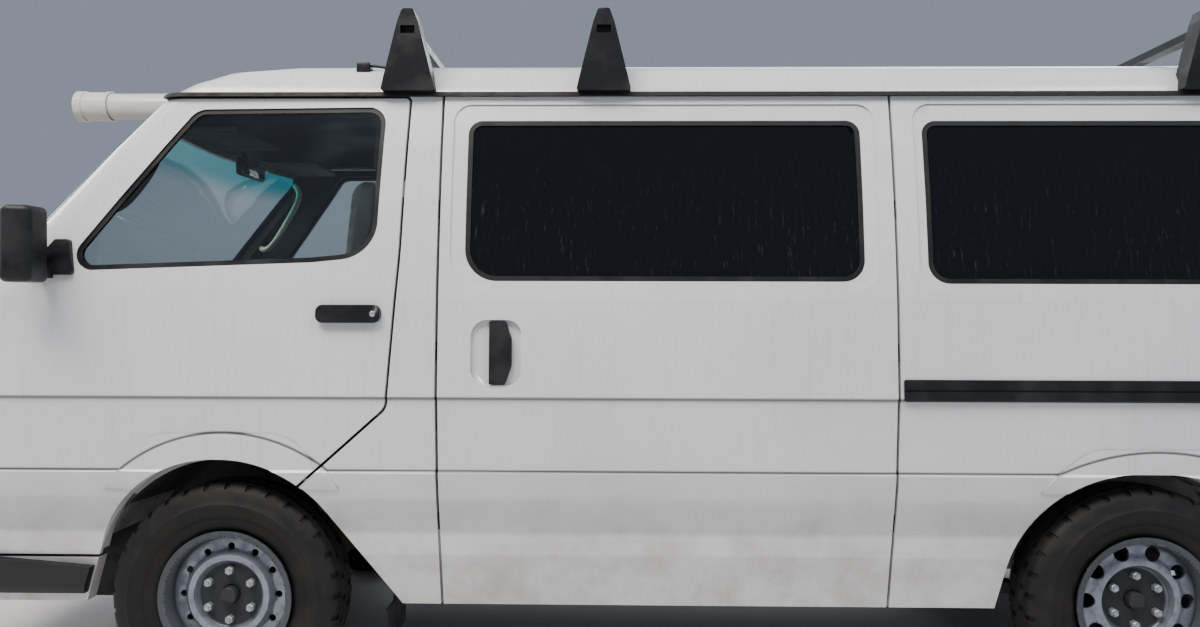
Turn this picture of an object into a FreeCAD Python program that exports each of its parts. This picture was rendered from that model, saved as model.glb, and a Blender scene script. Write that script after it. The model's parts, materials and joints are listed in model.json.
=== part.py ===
# A panel van with a cab, two hinged front doors, two sliding side doors, a
# lifting tailgate, a lifting nose lid, steered front wheels and a roof rack.
# Millimetres. +X is to the rear, +Y to the van's right, +Z up. The origin is
# on the ground, at the middle of the floor plan that the van covers.
import FreeCAD
import Part
import Sketcher
import math
import os
from FreeCAD import Matrix, Placement, Rotation, Vector

doc = FreeCAD.newDocument("PanelVan")
sheet = doc.addObject("Spreadsheet::Sheet", "Sizes")

# name, value, what it sets
SIZES = (
    ("wheelbase", 2570, "front axle to rear axle"),
    ("rear_overhang", 1045, "rear axle to the back of the bumper"),
    ("front_overhang", 1075, "front axle to the front of the bumper"),
    ("tube_lead", 1206, "front axle to the front of the carrier tube"),
    ("track_half", 725, "middle of the van to the middle of a tyre"),
    ("tyre_radius", 325, "tyre outside"),
    ("tyre_width", 186, "tyre at its widest"),
    ("wall", 45, "side walls and doors"),
    ("skin", 15, "outer flange of a hinged door"),
    ("door_step", 14, "inner part of a hinged door is this much smaller"),
    ("shut_gap", 8, "gap round each door and lid"),
    ("pull_proud", 5, "how far the sliding door's handle stands out of the skin"),
    ("dish_depth", 14, "depth of the dish behind the sliding door's handle"),
    ("lid_thick", 14, "nose lid"),
    ("fit_gap", 0.3, "gap round each lamp and casting in its seat"),
    ("nose_radius", 2600, "plan curve of the nose and windscreen"),
    ("tail_radius", 9000, "plan curve of the tail"),
    ("tail_corner", 90, "plan corner radius at the tail"),
    ("flare_proud", 5, "wheel flares stand out by this"),
    ("pillar_width", 34, "windscreen pillar between glass and door"),
    ("roof_seam", 1756, "height of the seam between sides and roof"),
    ("recess_depth", 4, "panels step in round the side windows"),
    ("glass_depth", 8, "glass outside lies this far under the skin"),
    ("glass_thick", 5, "glass"),
    ("seal_width", 14, "rubber round each glass, seen from outside"),
    ("seal_depth", 18, "inner face of that rubber"),
    ("lamp_depth", 40, "depth of a lamp's housing"),
    ("tail_split", 840, "side panels end this far behind the rear axle"),
    ("post_inside", 676, "inner edge of the rear posts"),
    ("hinge_out", 846, "front door hinge line, out from the middle"),
    ("hinge_ahead", 694, "front door hinge line, ahead of the front axle"),
    ("floor_top", 640, "load floor"),
    ("footwell_top", 598.3, "cab floor ahead of the front wheels"),
    ("seat_box_top", 880, "box over the front wheels and the engine"),
    ("floor_thick", 40, "floor pressing with its ribs"),
    ("front_well", 392, "inside radius of a front wheel housing"),
    ("rear_well", 376, "inside radius of a rear wheel housing"),
    ("well_thick", 10, "wheel housings"),
    ("rim_radius", 190, "rim flange"),
    ("rim_seat", 178, "where the tyre's bead sits"),
    ("rim_width", 150, "rim from flange to flange"),
    ("rim_thick", 7, "rim and disc pressing"),
    ("disc_radius", 165, "disc where it meets the rim"),
    ("disc_ring", 108, "raised ring of the front disc"),
    ("rear_ring", 110, "raised ring of a rear disc"),
    ("front_holes_at", 137, "circle of the round holes"),
    ("front_hole", 10, "radius of a round hole"),
    ("rear_holes_at", 141, "circle of the long openings"),
    ("rear_hole", 21.5, "radius of an opening in a rear disc"),
    ("hub_radius", 74, "hub flange behind the disc"),
    ("tow_eye", 16, "radius of the hole in the front tow plate"),
    ("hub_cap", 24, "grease cap in the middle of the hub"),
    ("kingpin_in", 65, "kingpin inboard of the middle of the tyre"),
    ("wheel_ring", 190, "steering wheel, to the middle of its rim"),
    ("wheel_grip", 13, "radius of the steering wheel's rim"),
    ("rack_bar_width", 40, "roof bar along the van"),
    ("rack_bar_height", 22, "roof bar"),
    ("rack_bar_top", 1950, "top of the roof bars"),
    ("tube_radius", 55, "carrier tube outside"),
    ("tube_wall", 4, "carrier tube"),
    ("tube_out", 600, "middle of the carrier tube, to the right"),
)

# The body's outline at each height, from the sill to the top of the roof:
# name, height, half width, nose ahead of the front axle, plan corner radius
# at the nose, tail behind the rear axle
LEVEL_COLUMNS = ("height", "half", "nose", "corner", "tail")
LEVELS = (
    ("sill", 296, 734, 945, 200, 975),
    ("tuck", 392, 757, 975, 220, 993),
    ("fold", 612, 814, 1015, 235, 1003),
    ("lip", 686, 830, 1022, 235, 1008),
    ("swage", 692, 825, 1017, 235, 1003),
    ("ledge", 890, 838, 1010, 235, 1003),
    ("crease", 900, 845, 1008, 235, 1008),
    ("belt", 1170, 827, 861, 170, 990),
    ("waist", 1310, 810, 740, 150, 975),
    ("glass", 1450, 789, 608, 130, 957),
    ("head", 1606, 759, 462, 105, 935),
    ("gutter", 1762, 722, 304, 80, 910),
    ("eave", 1798, 710, 240, 90, 897),
    ("shoulder", 1838, 672, 155, 120, 875),
    ("crown", 1864, 612, 30, 150, 830),
    ("brow", 1884, 535, -230, 160, 720),
    ("ridge", 1902, 400, -430, 150, 520),
    ("top", 1914, 230, -640, 110, 300),
    ("peak", 1921, 60, -860, 30, 60),
)
row = 0
for alias, value, note in SIZES:
    row += 1
    sheet.set(f"A{row}", alias)
    sheet.set(f"B{row}", str(value))
    sheet.setAlias(f"B{row}", alias)
    sheet.set(f"C{row}", note)
for level in LEVELS:
    for column, value in zip(LEVEL_COLUMNS, level[1:]):
        row += 1
        sheet.set(f"A{row}", f"{level[0]}_{column}")
        sheet.set(f"B{row}", str(value))
        sheet.setAlias(f"B{row}", f"{level[0]}_{column}")
doc.recompute()


class Size(float):
    """A number read from the sheet, with the expression that gives it."""

    def __new__(cls, value, text):
        size = float.__new__(cls, value)
        size.text = text
        return size

    def __add__(self, other):
        return Size(float(self) + float(other), f"({self.text} + {text(other)})")

    def __sub__(self, other):
        return Size(float(self) - float(other), f"({self.text} - {text(other)})")

    def __mul__(self, other):
        return Size(float(self) * float(other), f"({self.text} * {text(other)})")

    def __truediv__(self, other):
        return Size(float(self) / float(other), f"({self.text} / {text(other)})")

    def __radd__(self, other):
        return Size(float(other) + float(self), f"({text(other)} + {self.text})")

    def __rsub__(self, other):
        return Size(float(other) - float(self), f"({text(other)} - {self.text})")

    def __rmul__(self, other):
        return Size(float(other) * float(self), f"({text(other)} * {self.text})")

    def __neg__(self):
        return Size(-float(self), f"(-{self.text})")


def text(size):
    """The expression of a size, or a plain number as it is written."""
    return size.text if isinstance(size, Size) else repr(float(size))


class Sheet:
    """The sheet's cells, read by name as sizes."""

    def __getattr__(self, alias):
        return Size(float(sheet.get(alias)), f"Sizes.{alias}")


s = Sheet()
front_axle = (s.tube_lead - s.wheelbase - s.rear_overhang) / 2
rear_axle = front_axle + s.wheelbase
LEFT = -1
RIGHT = 1


NODES = []


def node(label, thing):
    """Makes a sub-part of a shape, or takes a document object as one."""
    if isinstance(thing, Part.Shape):
        holder = doc.addObject("Part::Feature", label)
        holder.Shape = thing
        thing = holder
    thing.Label = label
    NODES.append(thing)
    return thing


def rounded(corners):
    """A closed wire in the XY plane through corners (x, y, radius), each
    corner with a radius turned into a tangent arc."""
    joints = []
    for index, (x, y, radius) in enumerate(corners):
        corner = Vector(x, y, 0)
        before = Vector(*corners[index - 1][:2], 0) - corner
        after = Vector(*corners[(index + 1) % len(corners)][:2], 0) - corner
        before.normalize()
        after.normalize()
        half = before.getAngle(after) / 2
        reach = radius / math.tan(half)
        inward = before + after
        if radius:
            inward.normalize()
        middle = corner + inward * (radius / math.sin(half) - radius)
        joints.append((corner + before * reach, middle, corner + after * reach))
    edges = []
    for index, (first, middle, last) in enumerate(joints):
        if corners[index][2]:
            edges.append(Part.Arc(first, middle, last).toShape())
        following = joints[(index + 1) % len(joints)][0]
        if last.distanceToPoint(following) > 0.01:
            edges.append(Part.LineSegment(last, following).toShape())
    return Part.Wire(edges)


# Turns that lay a drawn outline upright: its x along the van and its y up, or
# its x across the van and its y up
SIDEWAYS = Rotation(Vector(1, 0, 0), 90)
ENDWAYS = Rotation(Vector(1, 1, 1), 120)


def prism(corners, turn, start, end, grow=0):
    """A solid with an outline of corners, from start to end along Y for a
    side outline or along X for an end outline."""
    wire = rounded(corners)
    if grow:
        wire = wire.makeOffset2D(grow)
    solid = Part.Face(wire).extrude(Vector(0, 0, end - start))
    if turn is SIDEWAYS:
        solid.Placement = Placement(Vector(0, end, 0), turn)
    else:
        solid.Placement = Placement(Vector(start, 0, 0), turn)
    return solid


def stations(rows, axle=None):
    """Corners given behind an axle, moved to their place in the van."""
    axle = front_axle if axle is None else axle
    return [(x + axle, z, radius) for x, z, radius in rows]


def block(x0, x1, y0, y1, z0, z1):
    """A plain box between two corners."""
    return Part.makeBox(x1 - x0, y1 - y0, z1 - z0, Vector(x0, y0, z0))


def rod(start, end, radius):
    """A round bar from one point to another."""
    run = end - start
    return Part.makeCylinder(radius, run.Length, start, run)


def mirrored(shape):
    """The same shape on the other side of the van."""
    return shape.mirror(Vector(0, 0, 0), Vector(0, 1, 0))


def both(shape):
    """A shape and its mirror image, as solids of one node."""
    return Part.makeCompound(shape.Solids + mirrored(shape).Solids)


def end_arcs(tip, sign, sweep, half, corner):
    """One end of a plan outline: where its long arc meets the corner arc, the
    corner arc's middle, where it meets the side, and the end's middle."""
    centre = tip - sign * sweep
    across = half - corner
    along = centre + sign * math.sqrt((sweep - corner) ** 2 - across**2)
    ray = Vector(along - centre, across, 0)
    ray.normalize()
    middle = ray + Vector(0, 1, 0)
    middle.normalize()
    return (
        Vector(centre, 0, 0) + ray * sweep,
        Vector(along, across, 0) + middle * corner,
        Vector(along, half, 0),
        Vector(tip, 0, 0),
    )


def ring(height, half, nose, corner, tail, tail_corner):
    """The body's closed plan outline at one height."""
    left = Matrix()
    left.A22 = -1
    lift = Vector(0, 0, height)
    front = [p + lift for p in end_arcs(nose, -1, s.nose_radius, half, corner)]
    back = [p + lift for p in end_arcs(tail, 1, s.tail_radius, half, tail_corner)]
    front_left = [left * p for p in front]
    back_left = [left * p for p in back]
    edges = (
        Part.Arc(front_left[0], front[3], front[0]),
        Part.Arc(front[0], front[1], front[2]),
        Part.LineSegment(front[2], back[2]),
        Part.Arc(back[2], back[1], back[0]),
        Part.Arc(back[0], back[3], back_left[0]),
        Part.Arc(back_left[0], back_left[1], back_left[2]),
        Part.LineSegment(back_left[2], front_left[2]),
        Part.Arc(front_left[2], front_left[1], front_left[0]),
    )
    return Part.Wire([edge.toShape() for edge in edges])


def sunk(line, depth):
    """A rising line of (reach, height) points, moved squarely inwards."""
    moved = []
    for index, (reach, height) in enumerate(line):
        normals = []
        for low, high in ((index - 1, index), (index, index + 1)):
            if low < 0 or high == len(line):
                continue
            run = Vector(line[high][0] - line[low][0], line[high][1] - line[low][1], 0)
            run.normalize()
            normals.append(Vector(run.y, -run.x, 0))
        middle = normals[0] + normals[-1]
        middle.normalize()
        step = middle * (depth / middle.dot(normals[0]))
        moved.append((reach - step.x, height - step.y))
    return moved


def reach_at(line, height):
    """How far a line of (reach, height) points reaches at a height."""
    index = 1
    while index < len(line) - 1 and line[index][1] < height:
        index += 1
    low, high = line[index - 1], line[index]
    share = (height - low[1]) / (high[1] - low[1])
    return low[0] + share * (high[0] - low[0])


LEAST_CORNER = 25
OPEN_DROP = 120
FINE_LEVELS = ("lip", "ledge")


def body_form(depth=0, open_below=False):
    """The van's outer form, or one that lies deeper by an even thickness. An
    open one runs on below the sill, to hollow out a shell."""
    names = [level[0] for level in LEVELS]
    if open_below:
        names = [name for name in names if name not in FINE_LEVELS]
    sizes = [[getattr(s, f"{name}_{column}") for column in LEVEL_COLUMNS] for name in names]
    heights = [float(size[0]) for size in sizes]
    flank = [(float(size[1]), size[0]) for size in sizes] + [(0, heights[-1] + 0.1)]
    flank = sunk(flank, depth)[:-1]
    nose = sunk([(float(size[2]), size[0]) for size in sizes], depth)
    tail = sunk([(float(size[4]), size[0]) for size in sizes], depth)
    wires = []
    for size, (half, height) in zip(sizes, flank):
        corner = max(size[3] - depth, LEAST_CORNER)
        tail_corner = min(max(s.tail_corner - depth, LEAST_CORNER), corner)
        ends = (front_axle - reach_at(nose, height), rear_axle + reach_at(tail, height))
        if open_below and not wires:
            low = height - OPEN_DROP
            wires.append(ring(low, half, ends[0], corner, ends[1], tail_corner))
        wires.append(ring(height, half, ends[0], corner, ends[1], tail_corner))
    return Part.makeLoft(wires, True, True)


FORMS = {}


def form(depth, open_below=False):
    """body_form, kept so that each depth is made once."""
    key = (float(depth), open_below)
    if key not in FORMS:
        FORMS[key] = body_form(float(depth), open_below)
    return FORMS[key]


def layer(region, outer, inner):
    """The part of a region between two depths under the body's surface."""
    return region.common(form(outer)).cut(form(inner, True))


# Outlines from the side, as behind the front axle, height, corner radius
FRONT_ARCH = (
    (-464, 200, 0),
    (-264, 722, 353),
    (179, 722, 361),
    (560, 200, 0),
)
REAR_ARCH = (
    (-408, 200, 0),
    (-321, 694, 330),
    (321, 694, 330),
    (408, 200, 0),
)
FRONT_FLARE = (
    (-330, 640, 0),
    (-290, 690, 30),
    (-200, 795, 120),
    (190, 795, 120),
    (285, 690, 30),
    (330, 640, 0),
)
REAR_FLARE = (
    (-300, 640, 0),
    (-258, 690, 30),
    (-170, 762, 110),
    (170, 762, 110),
    (258, 690, 30),
    (300, 640, 0),
)
FRONT_DOOR = (
    (-690, 440, 25),
    (-690, 1195, 60),
    (-218, 1748, 12),
    (506, 1748, 12),
    (492, 1300, 900),
    (460, 870, 40),
    (200, 640, 0),
    (120, 440, 0),
)
FRONT_GLASS = (
    (-462, 1246, 45),
    (-105, 1716, 60),
    (443, 1722, 50),
    (428, 1290, 110),
    (250, 1272, 300),
)
SLIDING_DOOR = (
    (600, 200, 0),
    (600, 1800, 0),
    (1881, 1800, 0),
    (1881, 200, 0),
)
SLIDING_GLASS = (
    (679, 1221, 90),
    (679, 1681, 40),
    (1789, 1681, 40),
    (1789, 1221, 60),
)
SLIDING_RECESS = (
    (637, 1193, 110),
    (637, 1729, 50),
    (1829, 1729, 50),
    (1829, 1193, 80),
)
# The dish that the sliding door's pull handle lies in, and the handle
HANDLE_DISH = (
    (699, 933, 46),
    (699, 1113, 46),
    (839, 1113, 40),
    (839, 933, 40),
)
PULL_HANDLE = (
    (751, 936, 4),
    (751, 1110, 4),
    (796, 1110, 8),
    (813, 1060, 60),
    (813, 986, 60),
    (796, 936, 8),
)
QUARTER_GLASS = (
    (1963, 1216, 60),
    (1963, 1680, 40),
    (3396, 1680, 60),
    (3430, 1216, 90),
)
QUARTER_RECESS = (
    (1938, 1190, 80),
    (1938, 1730, 50),
    (3436, 1730, 70),
    (3474, 1190, 110),
)
# Outlines from an end, as across, height, corner radius
WINDSCREEN = (
    (-752, 1212, 90),
    (-652, 1712, 70),
    (652, 1712, 70),
    (752, 1212, 90),
)
PILLARS = (
    (-774, 1100, 0),
    (-634, 1800, 0),
    (634, 1800, 0),
    (774, 1100, 0),
)
NOSE_LID = (
    (-500, 872, 40),
    (-500, 1158, 60),
    (500, 1158, 60),
    (500, 872, 40),
)
TAILGATE = (
    (-658, 560, 40),
    (-658, 1170, 400),
    (-620, 1748, 40),
    (620, 1748, 40),
    (658, 1170, 400),
    (658, 560, 40),
)
TAIL_GLASS = (
    (-585, 1190, 70),
    (-560, 1660, 70),
    (560, 1660, 70),
    (585, 1190, 70),
)
GRILLE = (
    (-440, 660, 20),
    (-440, 800, 20),
    (440, 800, 20),
    (440, 660, 20),
)
HEADLAMP = (
    (455, 655, 20),
    (455, 805, 20),
    (735, 805, 20),
    (735, 655, 20),
)
INDICATOR = (
    (742, 655, 15),
    (742, 805, 15),
    (860, 805, 15),
    (860, 655, 15),
)
TAIL_LAMP = (
    (700, 800, 15),
    (700, 1130, 15),
    (860, 1130, 15),
    (860, 800, 15),
)

FAR = 1200
FRONT_X = front_axle - 1300
BACK_X = rear_axle + 1300
CORNER_X = front_axle - 800


def left_prism(rows, grow=0):
    """An outline from the side, through the van's left side."""
    return prism(stations(rows), SIDEWAYS, -FAR, -1, grow)


def front_prism(rows, grow=0, end=CORNER_X + 600):
    """An outline from the front, through the van's nose."""
    return prism(rows, ENDWAYS, FRONT_X, end, grow)


def back_prism(rows, grow=0):
    """An outline from the back, through the van's tail."""
    return prism(rows, ENDWAYS, rear_axle + s.tail_split, BACK_X, grow)


def seal_ring(cutter, rows, pane):
    """Rubber round a window, slotted for the edge of its glass."""
    region = cutter(rows).cut(cutter(rows, -s.seal_width))
    return layer(region, s.recess_depth, s.seal_depth).cut(pane)


def glass_pane(cutter, rows):
    """A window's glass, its edge halfway into the rubber."""
    region = cutter(rows, -s.seal_width / 2)
    return layer(region, s.glass_depth, s.glass_depth + s.glass_thick)


def body_shell():
    """The whole outer body as one wall, before it is split into panels."""
    outer = form(0)
    for rows in (stations(FRONT_FLARE), stations(REAR_FLARE, rear_axle)):
        flare = prism(rows, SIDEWAYS, -FAR, FAR).common(form(-s.flare_proud))
        outer = outer.fuse(flare)
    walls = outer.cut(form(s.wall, True))
    for rows in (stations(FRONT_ARCH), stations(REAR_ARCH, rear_axle)):
        walls = walls.cut(prism(rows, SIDEWAYS, -FAR, FAR))
    return walls


def recess(rows):
    """What is cut from the skin to step it in round a window."""
    return left_prism(rows).cut(form(s.recess_depth))


shell = body_shell()
lower = shell.common(block(FRONT_X, BACK_X, -FAR, FAR, 0, s.roof_seam))
left_half = lower.common(block(FRONT_X, BACK_X, -FAR, 0, 0, s.roof_seam))


def both_sides(shape, *cutters):
    """A shape with each cutter and its mirror image taken away."""
    for cutter in cutters:
        shape = shape.cut(cutter).cut(mirrored(cutter))
    return shape


def hinged_door(rows):
    """A front door: its outer flange, and its smaller inner part."""
    outside = left_prism(rows).common(left_half).cut(form(s.skin))
    inside = left_prism(rows, -s.door_step).common(left_half).common(form(s.skin))
    return outside.fuse(inside)


HINGE_PIN = s.shut_gap / 2 - s.fit_gap


def hinges():
    """Pins in the gaps that the doors and lids turn in, and the front
    doors' plates behind them."""
    pins = []
    x = front_axle - s.hinge_ahead
    for level in (790, 960):
        foot = Vector(x, -s.hinge_out, level)
        barrel = rod(foot, foot + Vector(0, 0, 50), HINGE_PIN)
        plate = block(x - HINGE_PIN, x, -s.hinge_out, -s.hinge_out + 40, level + 4, level + 46)
        pins += both(barrel.fuse(plate)).Solids
    for across in (60, 140):
        pins += both(rod(Vector(gate_x, across, gate_z), Vector(gate_x, across + 40, gate_z), HINGE_PIN)).Solids
    pins += both(rod(Vector(lid_x, 30, lid_z), Vector(lid_x, 90, lid_z), HINGE_PIN)).Solids
    return Part.makeCompound(pins)


# The tailgate's hinge line runs in the gap over its top edge, and the nose
# lid's in the gap over its own, both just behind the skin
gate_z = TAILGATE[2][1] + s.shut_gap / 2
gate_x = rear_axle + s.gutter_tail + (s.gutter_height - gate_z) * (s.head_tail - s.gutter_tail) / (
    s.gutter_height - s.head_height) - 1
lid_z = NOSE_LID[1][1] + s.shut_gap / 2
lid_x = front_axle - s.belt_nose - 3
node("hinges", hinges())

pillar_zone = front_prism(PILLARS, s.pillar_width, front_axle)
pillar_clear = front_prism(PILLARS, s.pillar_width - s.shut_gap, front_axle)
door_hole = left_prism(FRONT_DOOR, s.shut_gap).cut(pillar_clear)
front_door = hinged_door(FRONT_DOOR).cut(left_prism(FRONT_GLASS)).cut(pillar_zone)
sliding_door = left_half.common(left_prism(SLIDING_DOOR, -s.shut_gap))
sliding_door = sliding_door.cut(recess(SLIDING_RECESS)).cut(left_prism(SLIDING_GLASS))
sliding_door = sliding_door.cut(left_prism(HANDLE_DISH).cut(form(s.dish_depth)))
side_panel = left_half.common(block(front_axle, rear_axle + s.tail_split, -FAR, 0, 0, s.roof_seam))
corner = block(rear_axle + s.tail_split, BACK_X, -FAR, -s.post_inside, 0, s.roof_seam)
side_panel = side_panel.fuse(left_half.common(corner))
for cutter in (
    door_hole,
    left_prism(SLIDING_DOOR),
    recess(QUARTER_RECESS),
    left_prism(QUARTER_GLASS),
    mirrored(back_prism(TAIL_LAMP)),
):
    side_panel = side_panel.cut(cutter)

for side, turn in (("left", lambda shape: shape), ("right", mirrored)):
    node(f"front_door_{side}", turn(front_door))
    node(f"sliding_door_{side}", turn(sliding_door))
    node(f"side_panel_{side}", turn(side_panel))

roof = shell.common(block(FRONT_X, BACK_X, -FAR, FAR, s.roof_seam, s.peak_height + 10))
node("roof_panel", roof)

nose_end = block(FRONT_X, front_axle, -FAR, FAR, 0, s.roof_seam)
nose = both_sides(lower.common(nose_end), door_hole)
nose = nose.cut(front_prism(WINDSCREEN)).cut(front_prism(NOSE_LID, s.shut_gap))
nose = nose.cut(front_prism(GRILLE))
nose = both_sides(nose, front_prism(HEADLAMP), front_prism(INDICATOR, 0, CORNER_X))
node("nose_panel", nose)
lid = lower.common(front_prism(NOSE_LID)).cut(form(s.lid_thick, True))
node("nose_lid", lid)

rear_frame = lower.common(
    block(rear_axle + s.tail_split, BACK_X, -s.post_inside, s.post_inside, 0, s.roof_seam)
)
node("rear_frame", rear_frame.cut(back_prism(TAILGATE, s.shut_gap)))
tailgate = lower.common(back_prism(TAILGATE)).cut(back_prism(TAIL_GLASS))
node("tailgate", tailgate)

windscreen = glass_pane(front_prism, WINDSCREEN)
node("windscreen", windscreen)
tail_glass = glass_pane(back_prism, TAIL_GLASS)
node("tailgate_glass", tail_glass)
front_glass = glass_pane(left_prism, FRONT_GLASS)
sliding_glass = glass_pane(left_prism, SLIDING_GLASS)
quarter_glass = glass_pane(left_prism, QUARTER_GLASS)
node("front_door_glass_left", front_glass)
node("front_door_glass_right", mirrored(front_glass))
node("side_glass", Part.makeCompound([both(sliding_glass), both(quarter_glass)]))

front_seal = seal_ring(left_prism, FRONT_GLASS, front_glass)
sliding_seal = seal_ring(left_prism, SLIDING_GLASS, sliding_glass)
quarter_seal = seal_ring(left_prism, QUARTER_GLASS, quarter_glass)
screen_seal = seal_ring(front_prism, WINDSCREEN, windscreen)
tail_seal = seal_ring(back_prism, TAIL_GLASS, tail_glass)


def bumper_form(rows, proud):
    """A wrap-round bumper's outer form, from rows of height, how far it
    stands out at the side, how far at the end, and corner radius."""
    wires = []
    for height, side, end, radius in rows:
        half = s.fold_half + side
        nose = front_axle - s.front_overhang - end
        tail = rear_axle + s.rear_overhang + end
        wires.append(ring(height, half, nose, radius, tail, min(radius, proud)))
    return Part.makeLoft(wires, True, True)


# height, out from the fold's half width, out from the overhang, corner radius
BUMPER = (
    (325, -52, -40, 150),
    (352, -34, -12, 170),
    (385, -28, 0, 180),
    (480, -8, 0, 180),
    (520, -6, -14, 175),
)
bumpers = bumper_form(BUMPER, 120).cut(form(-s.fit_gap, True))
front_end = block(FRONT_X, front_axle, -FAR, FAR, 0, 900)
front_bumper = bumpers.common(front_end)
wing_top = prism(
    stations(((-690, 434, 0), (-690, 900, 0), (0, 900, 0), (0, 400, 0), (-380, 406, 0))),
    SIDEWAYS,
    -FAR,
    FAR,
)
front_bumper = front_bumper.cut(prism(stations(FRONT_ARCH), SIDEWAYS, -FAR, FAR, 4))
front_bumper = front_bumper.cut(wing_top)
door_drop = block(front_axle - 696, front_axle, -FAR, FAR, 434, 900)
node("front_bumper", front_bumper.cut(door_drop))
rear_bumper = bumpers.common(block(rear_axle + 560, BACK_X, -FAR, FAR, 0, 900))
node("rear_bumper", rear_bumper)


def lamp(region, proud=2):
    """A lamp's body, filling its opening up to a small clearance."""
    return region.common(form(-proud)).cut(form(s.lamp_depth, True))


headlamp = lamp(front_prism(HEADLAMP, -s.fit_gap))
indicator = lamp(front_prism(INDICATOR, -s.fit_gap, CORNER_X))
tail_lamp = lamp(back_prism(TAIL_LAMP, -s.fit_gap))
node("headlamps", both(headlamp))
node("indicators", both(indicator))
node("tail_lamps", both(tail_lamp))


def grille():
    """The radiator grille: a frame, level bars and a few uprights."""
    depth = 30
    inside = front_prism(GRILLE, -14)
    panel = front_prism(GRILLE, -s.fit_gap)
    frame = panel.cut(inside).common(form(0)).cut(form(depth, True))
    bars = []
    bar_count = 5
    low = GRILLE[0][1] + 14
    pitch = (GRILLE[1][1] - 14 - low) / bar_count
    for index in range(1, bar_count):
        level = low + pitch * index
        bars.append(block(FRONT_X, CORNER_X, -FAR, FAR, level - 5, level + 5))
    for across in (-220, 0, 220):
        bars.append(block(FRONT_X, CORNER_X, across - 4, across + 4, 0, 1000))
    web = bars[0].multiFuse(bars[1:]).common(inside)
    web = web.common(form(5)).cut(form(depth - 5, True))
    return frame.fuse(web)


node("grille", grille())

# The drip gutter along each edge of the roof
gutter = block(front_axle - 215, rear_axle + 880, -FAR, -400, s.roof_seam - 3, s.roof_seam + 9)
gutter = gutter.common(form(-14)).cut(form(-s.fit_gap))
node("gutters", both(gutter))


def rail_cover():
    """The black cover over the sliding door's rail, on the rear side."""
    corners = ((1888, 893, 6), (1888, 953, 6), (3400, 953, 6), (3400, 893, 6))
    region = left_prism(corners)
    groove = left_prism(((1880, 921, 0), (1880, 926, 0), (3410, 926, 0), (3410, 921, 0)))
    return region.common(form(-7)).cut(form(-s.fit_gap)).cut(groove.cut(form(-3)))


node("rail_covers", both(rail_cover()))


def handle(x0, x1, z0, z1, proud):
    """A pull handle with rounded ends, seen from the side."""
    radius = min(x1 - x0, z1 - z0) * 0.4
    corners = ((x0, z0, radius), (x0, z1, radius), (x1, z1, radius), (x1, z0, radius))
    return left_prism(corners).common(form(-proud)).cut(form(-s.fit_gap))


pull = left_prism(PULL_HANDLE).common(form(-s.pull_proud)).cut(form(s.dish_depth - s.fit_gap))
node("sliding_door_handles", both(pull))


def door_buffers():
    """Rubber buffers that carry the sliding door between its posts."""
    pieces = []
    for level in (520, 1000, 1400):
        for edge in (600, 1881 - s.shut_gap):
            low = edge + s.fit_gap
            high = edge + s.shut_gap - s.fit_gap
            corners = ((low, level, 0), (low, level + 50, 0), (high, level + 50, 0), (high, level, 0))
            region = left_prism(corners)
            pieces.append(region.common(form(12)).cut(form(s.wall - 5, True)))
    return Part.makeCompound(pieces)


rubber = [both(sliding_seal), both(quarter_seal), screen_seal, both(door_buffers())]
node("rubber_seals", Part.makeCompound(rubber))


def mirror():
    """The left door mirror: a tall rounded head on two short arms."""
    corners = (
        (front_axle - 548, -985, 30),
        (front_axle - 452, -970, 22),
        (front_axle - 452, -872, 22),
        (front_axle - 520, -868, 30),
    )
    head = Part.Face(rounded(corners)).extrude(Vector(0, 0, 205))
    head.translate(Vector(0, 0, 1212))
    head = head.makeFillet(16, [e for e in head.Edges if e.Curve.TypeId == "Part::GeomLine"
                                and abs(e.tangentAt(e.FirstParameter).z) < 0.1])
    arms = [
        block(front_axle - 510, front_axle - 476, -880, -780, level, level + 26)
        for level in (1226, 1282)
    ]
    sail_corners = ((-560, 1236, 10), (-470, 1336, 10), (-430, 1336, 10), (-415, 1236, 10))
    sail = left_prism(sail_corners).common(form(-14)).cut(form(-s.fit_gap))
    arms = [arm.cut(form(-s.fit_gap)) for arm in arms]
    return sail.multiFuse([head] + arms)


door_handle = handle(271, 450, 1104, 1154, 18)
for side, turn in (("left", lambda shape: shape), ("right", mirrored)):
    fittings = Part.makeCompound([turn(mirror()), turn(door_handle), turn(front_seal)])
    node(f"front_door_fittings_{side}", fittings)
tail_handle = block(rear_axle + 900, BACK_X, -170, 170, 760, 800)
tail_handle = tail_handle.common(form(-20)).cut(form(-s.fit_gap))
node("tailgate_fittings", Part.makeCompound([tail_handle, tail_seal]))


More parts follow.
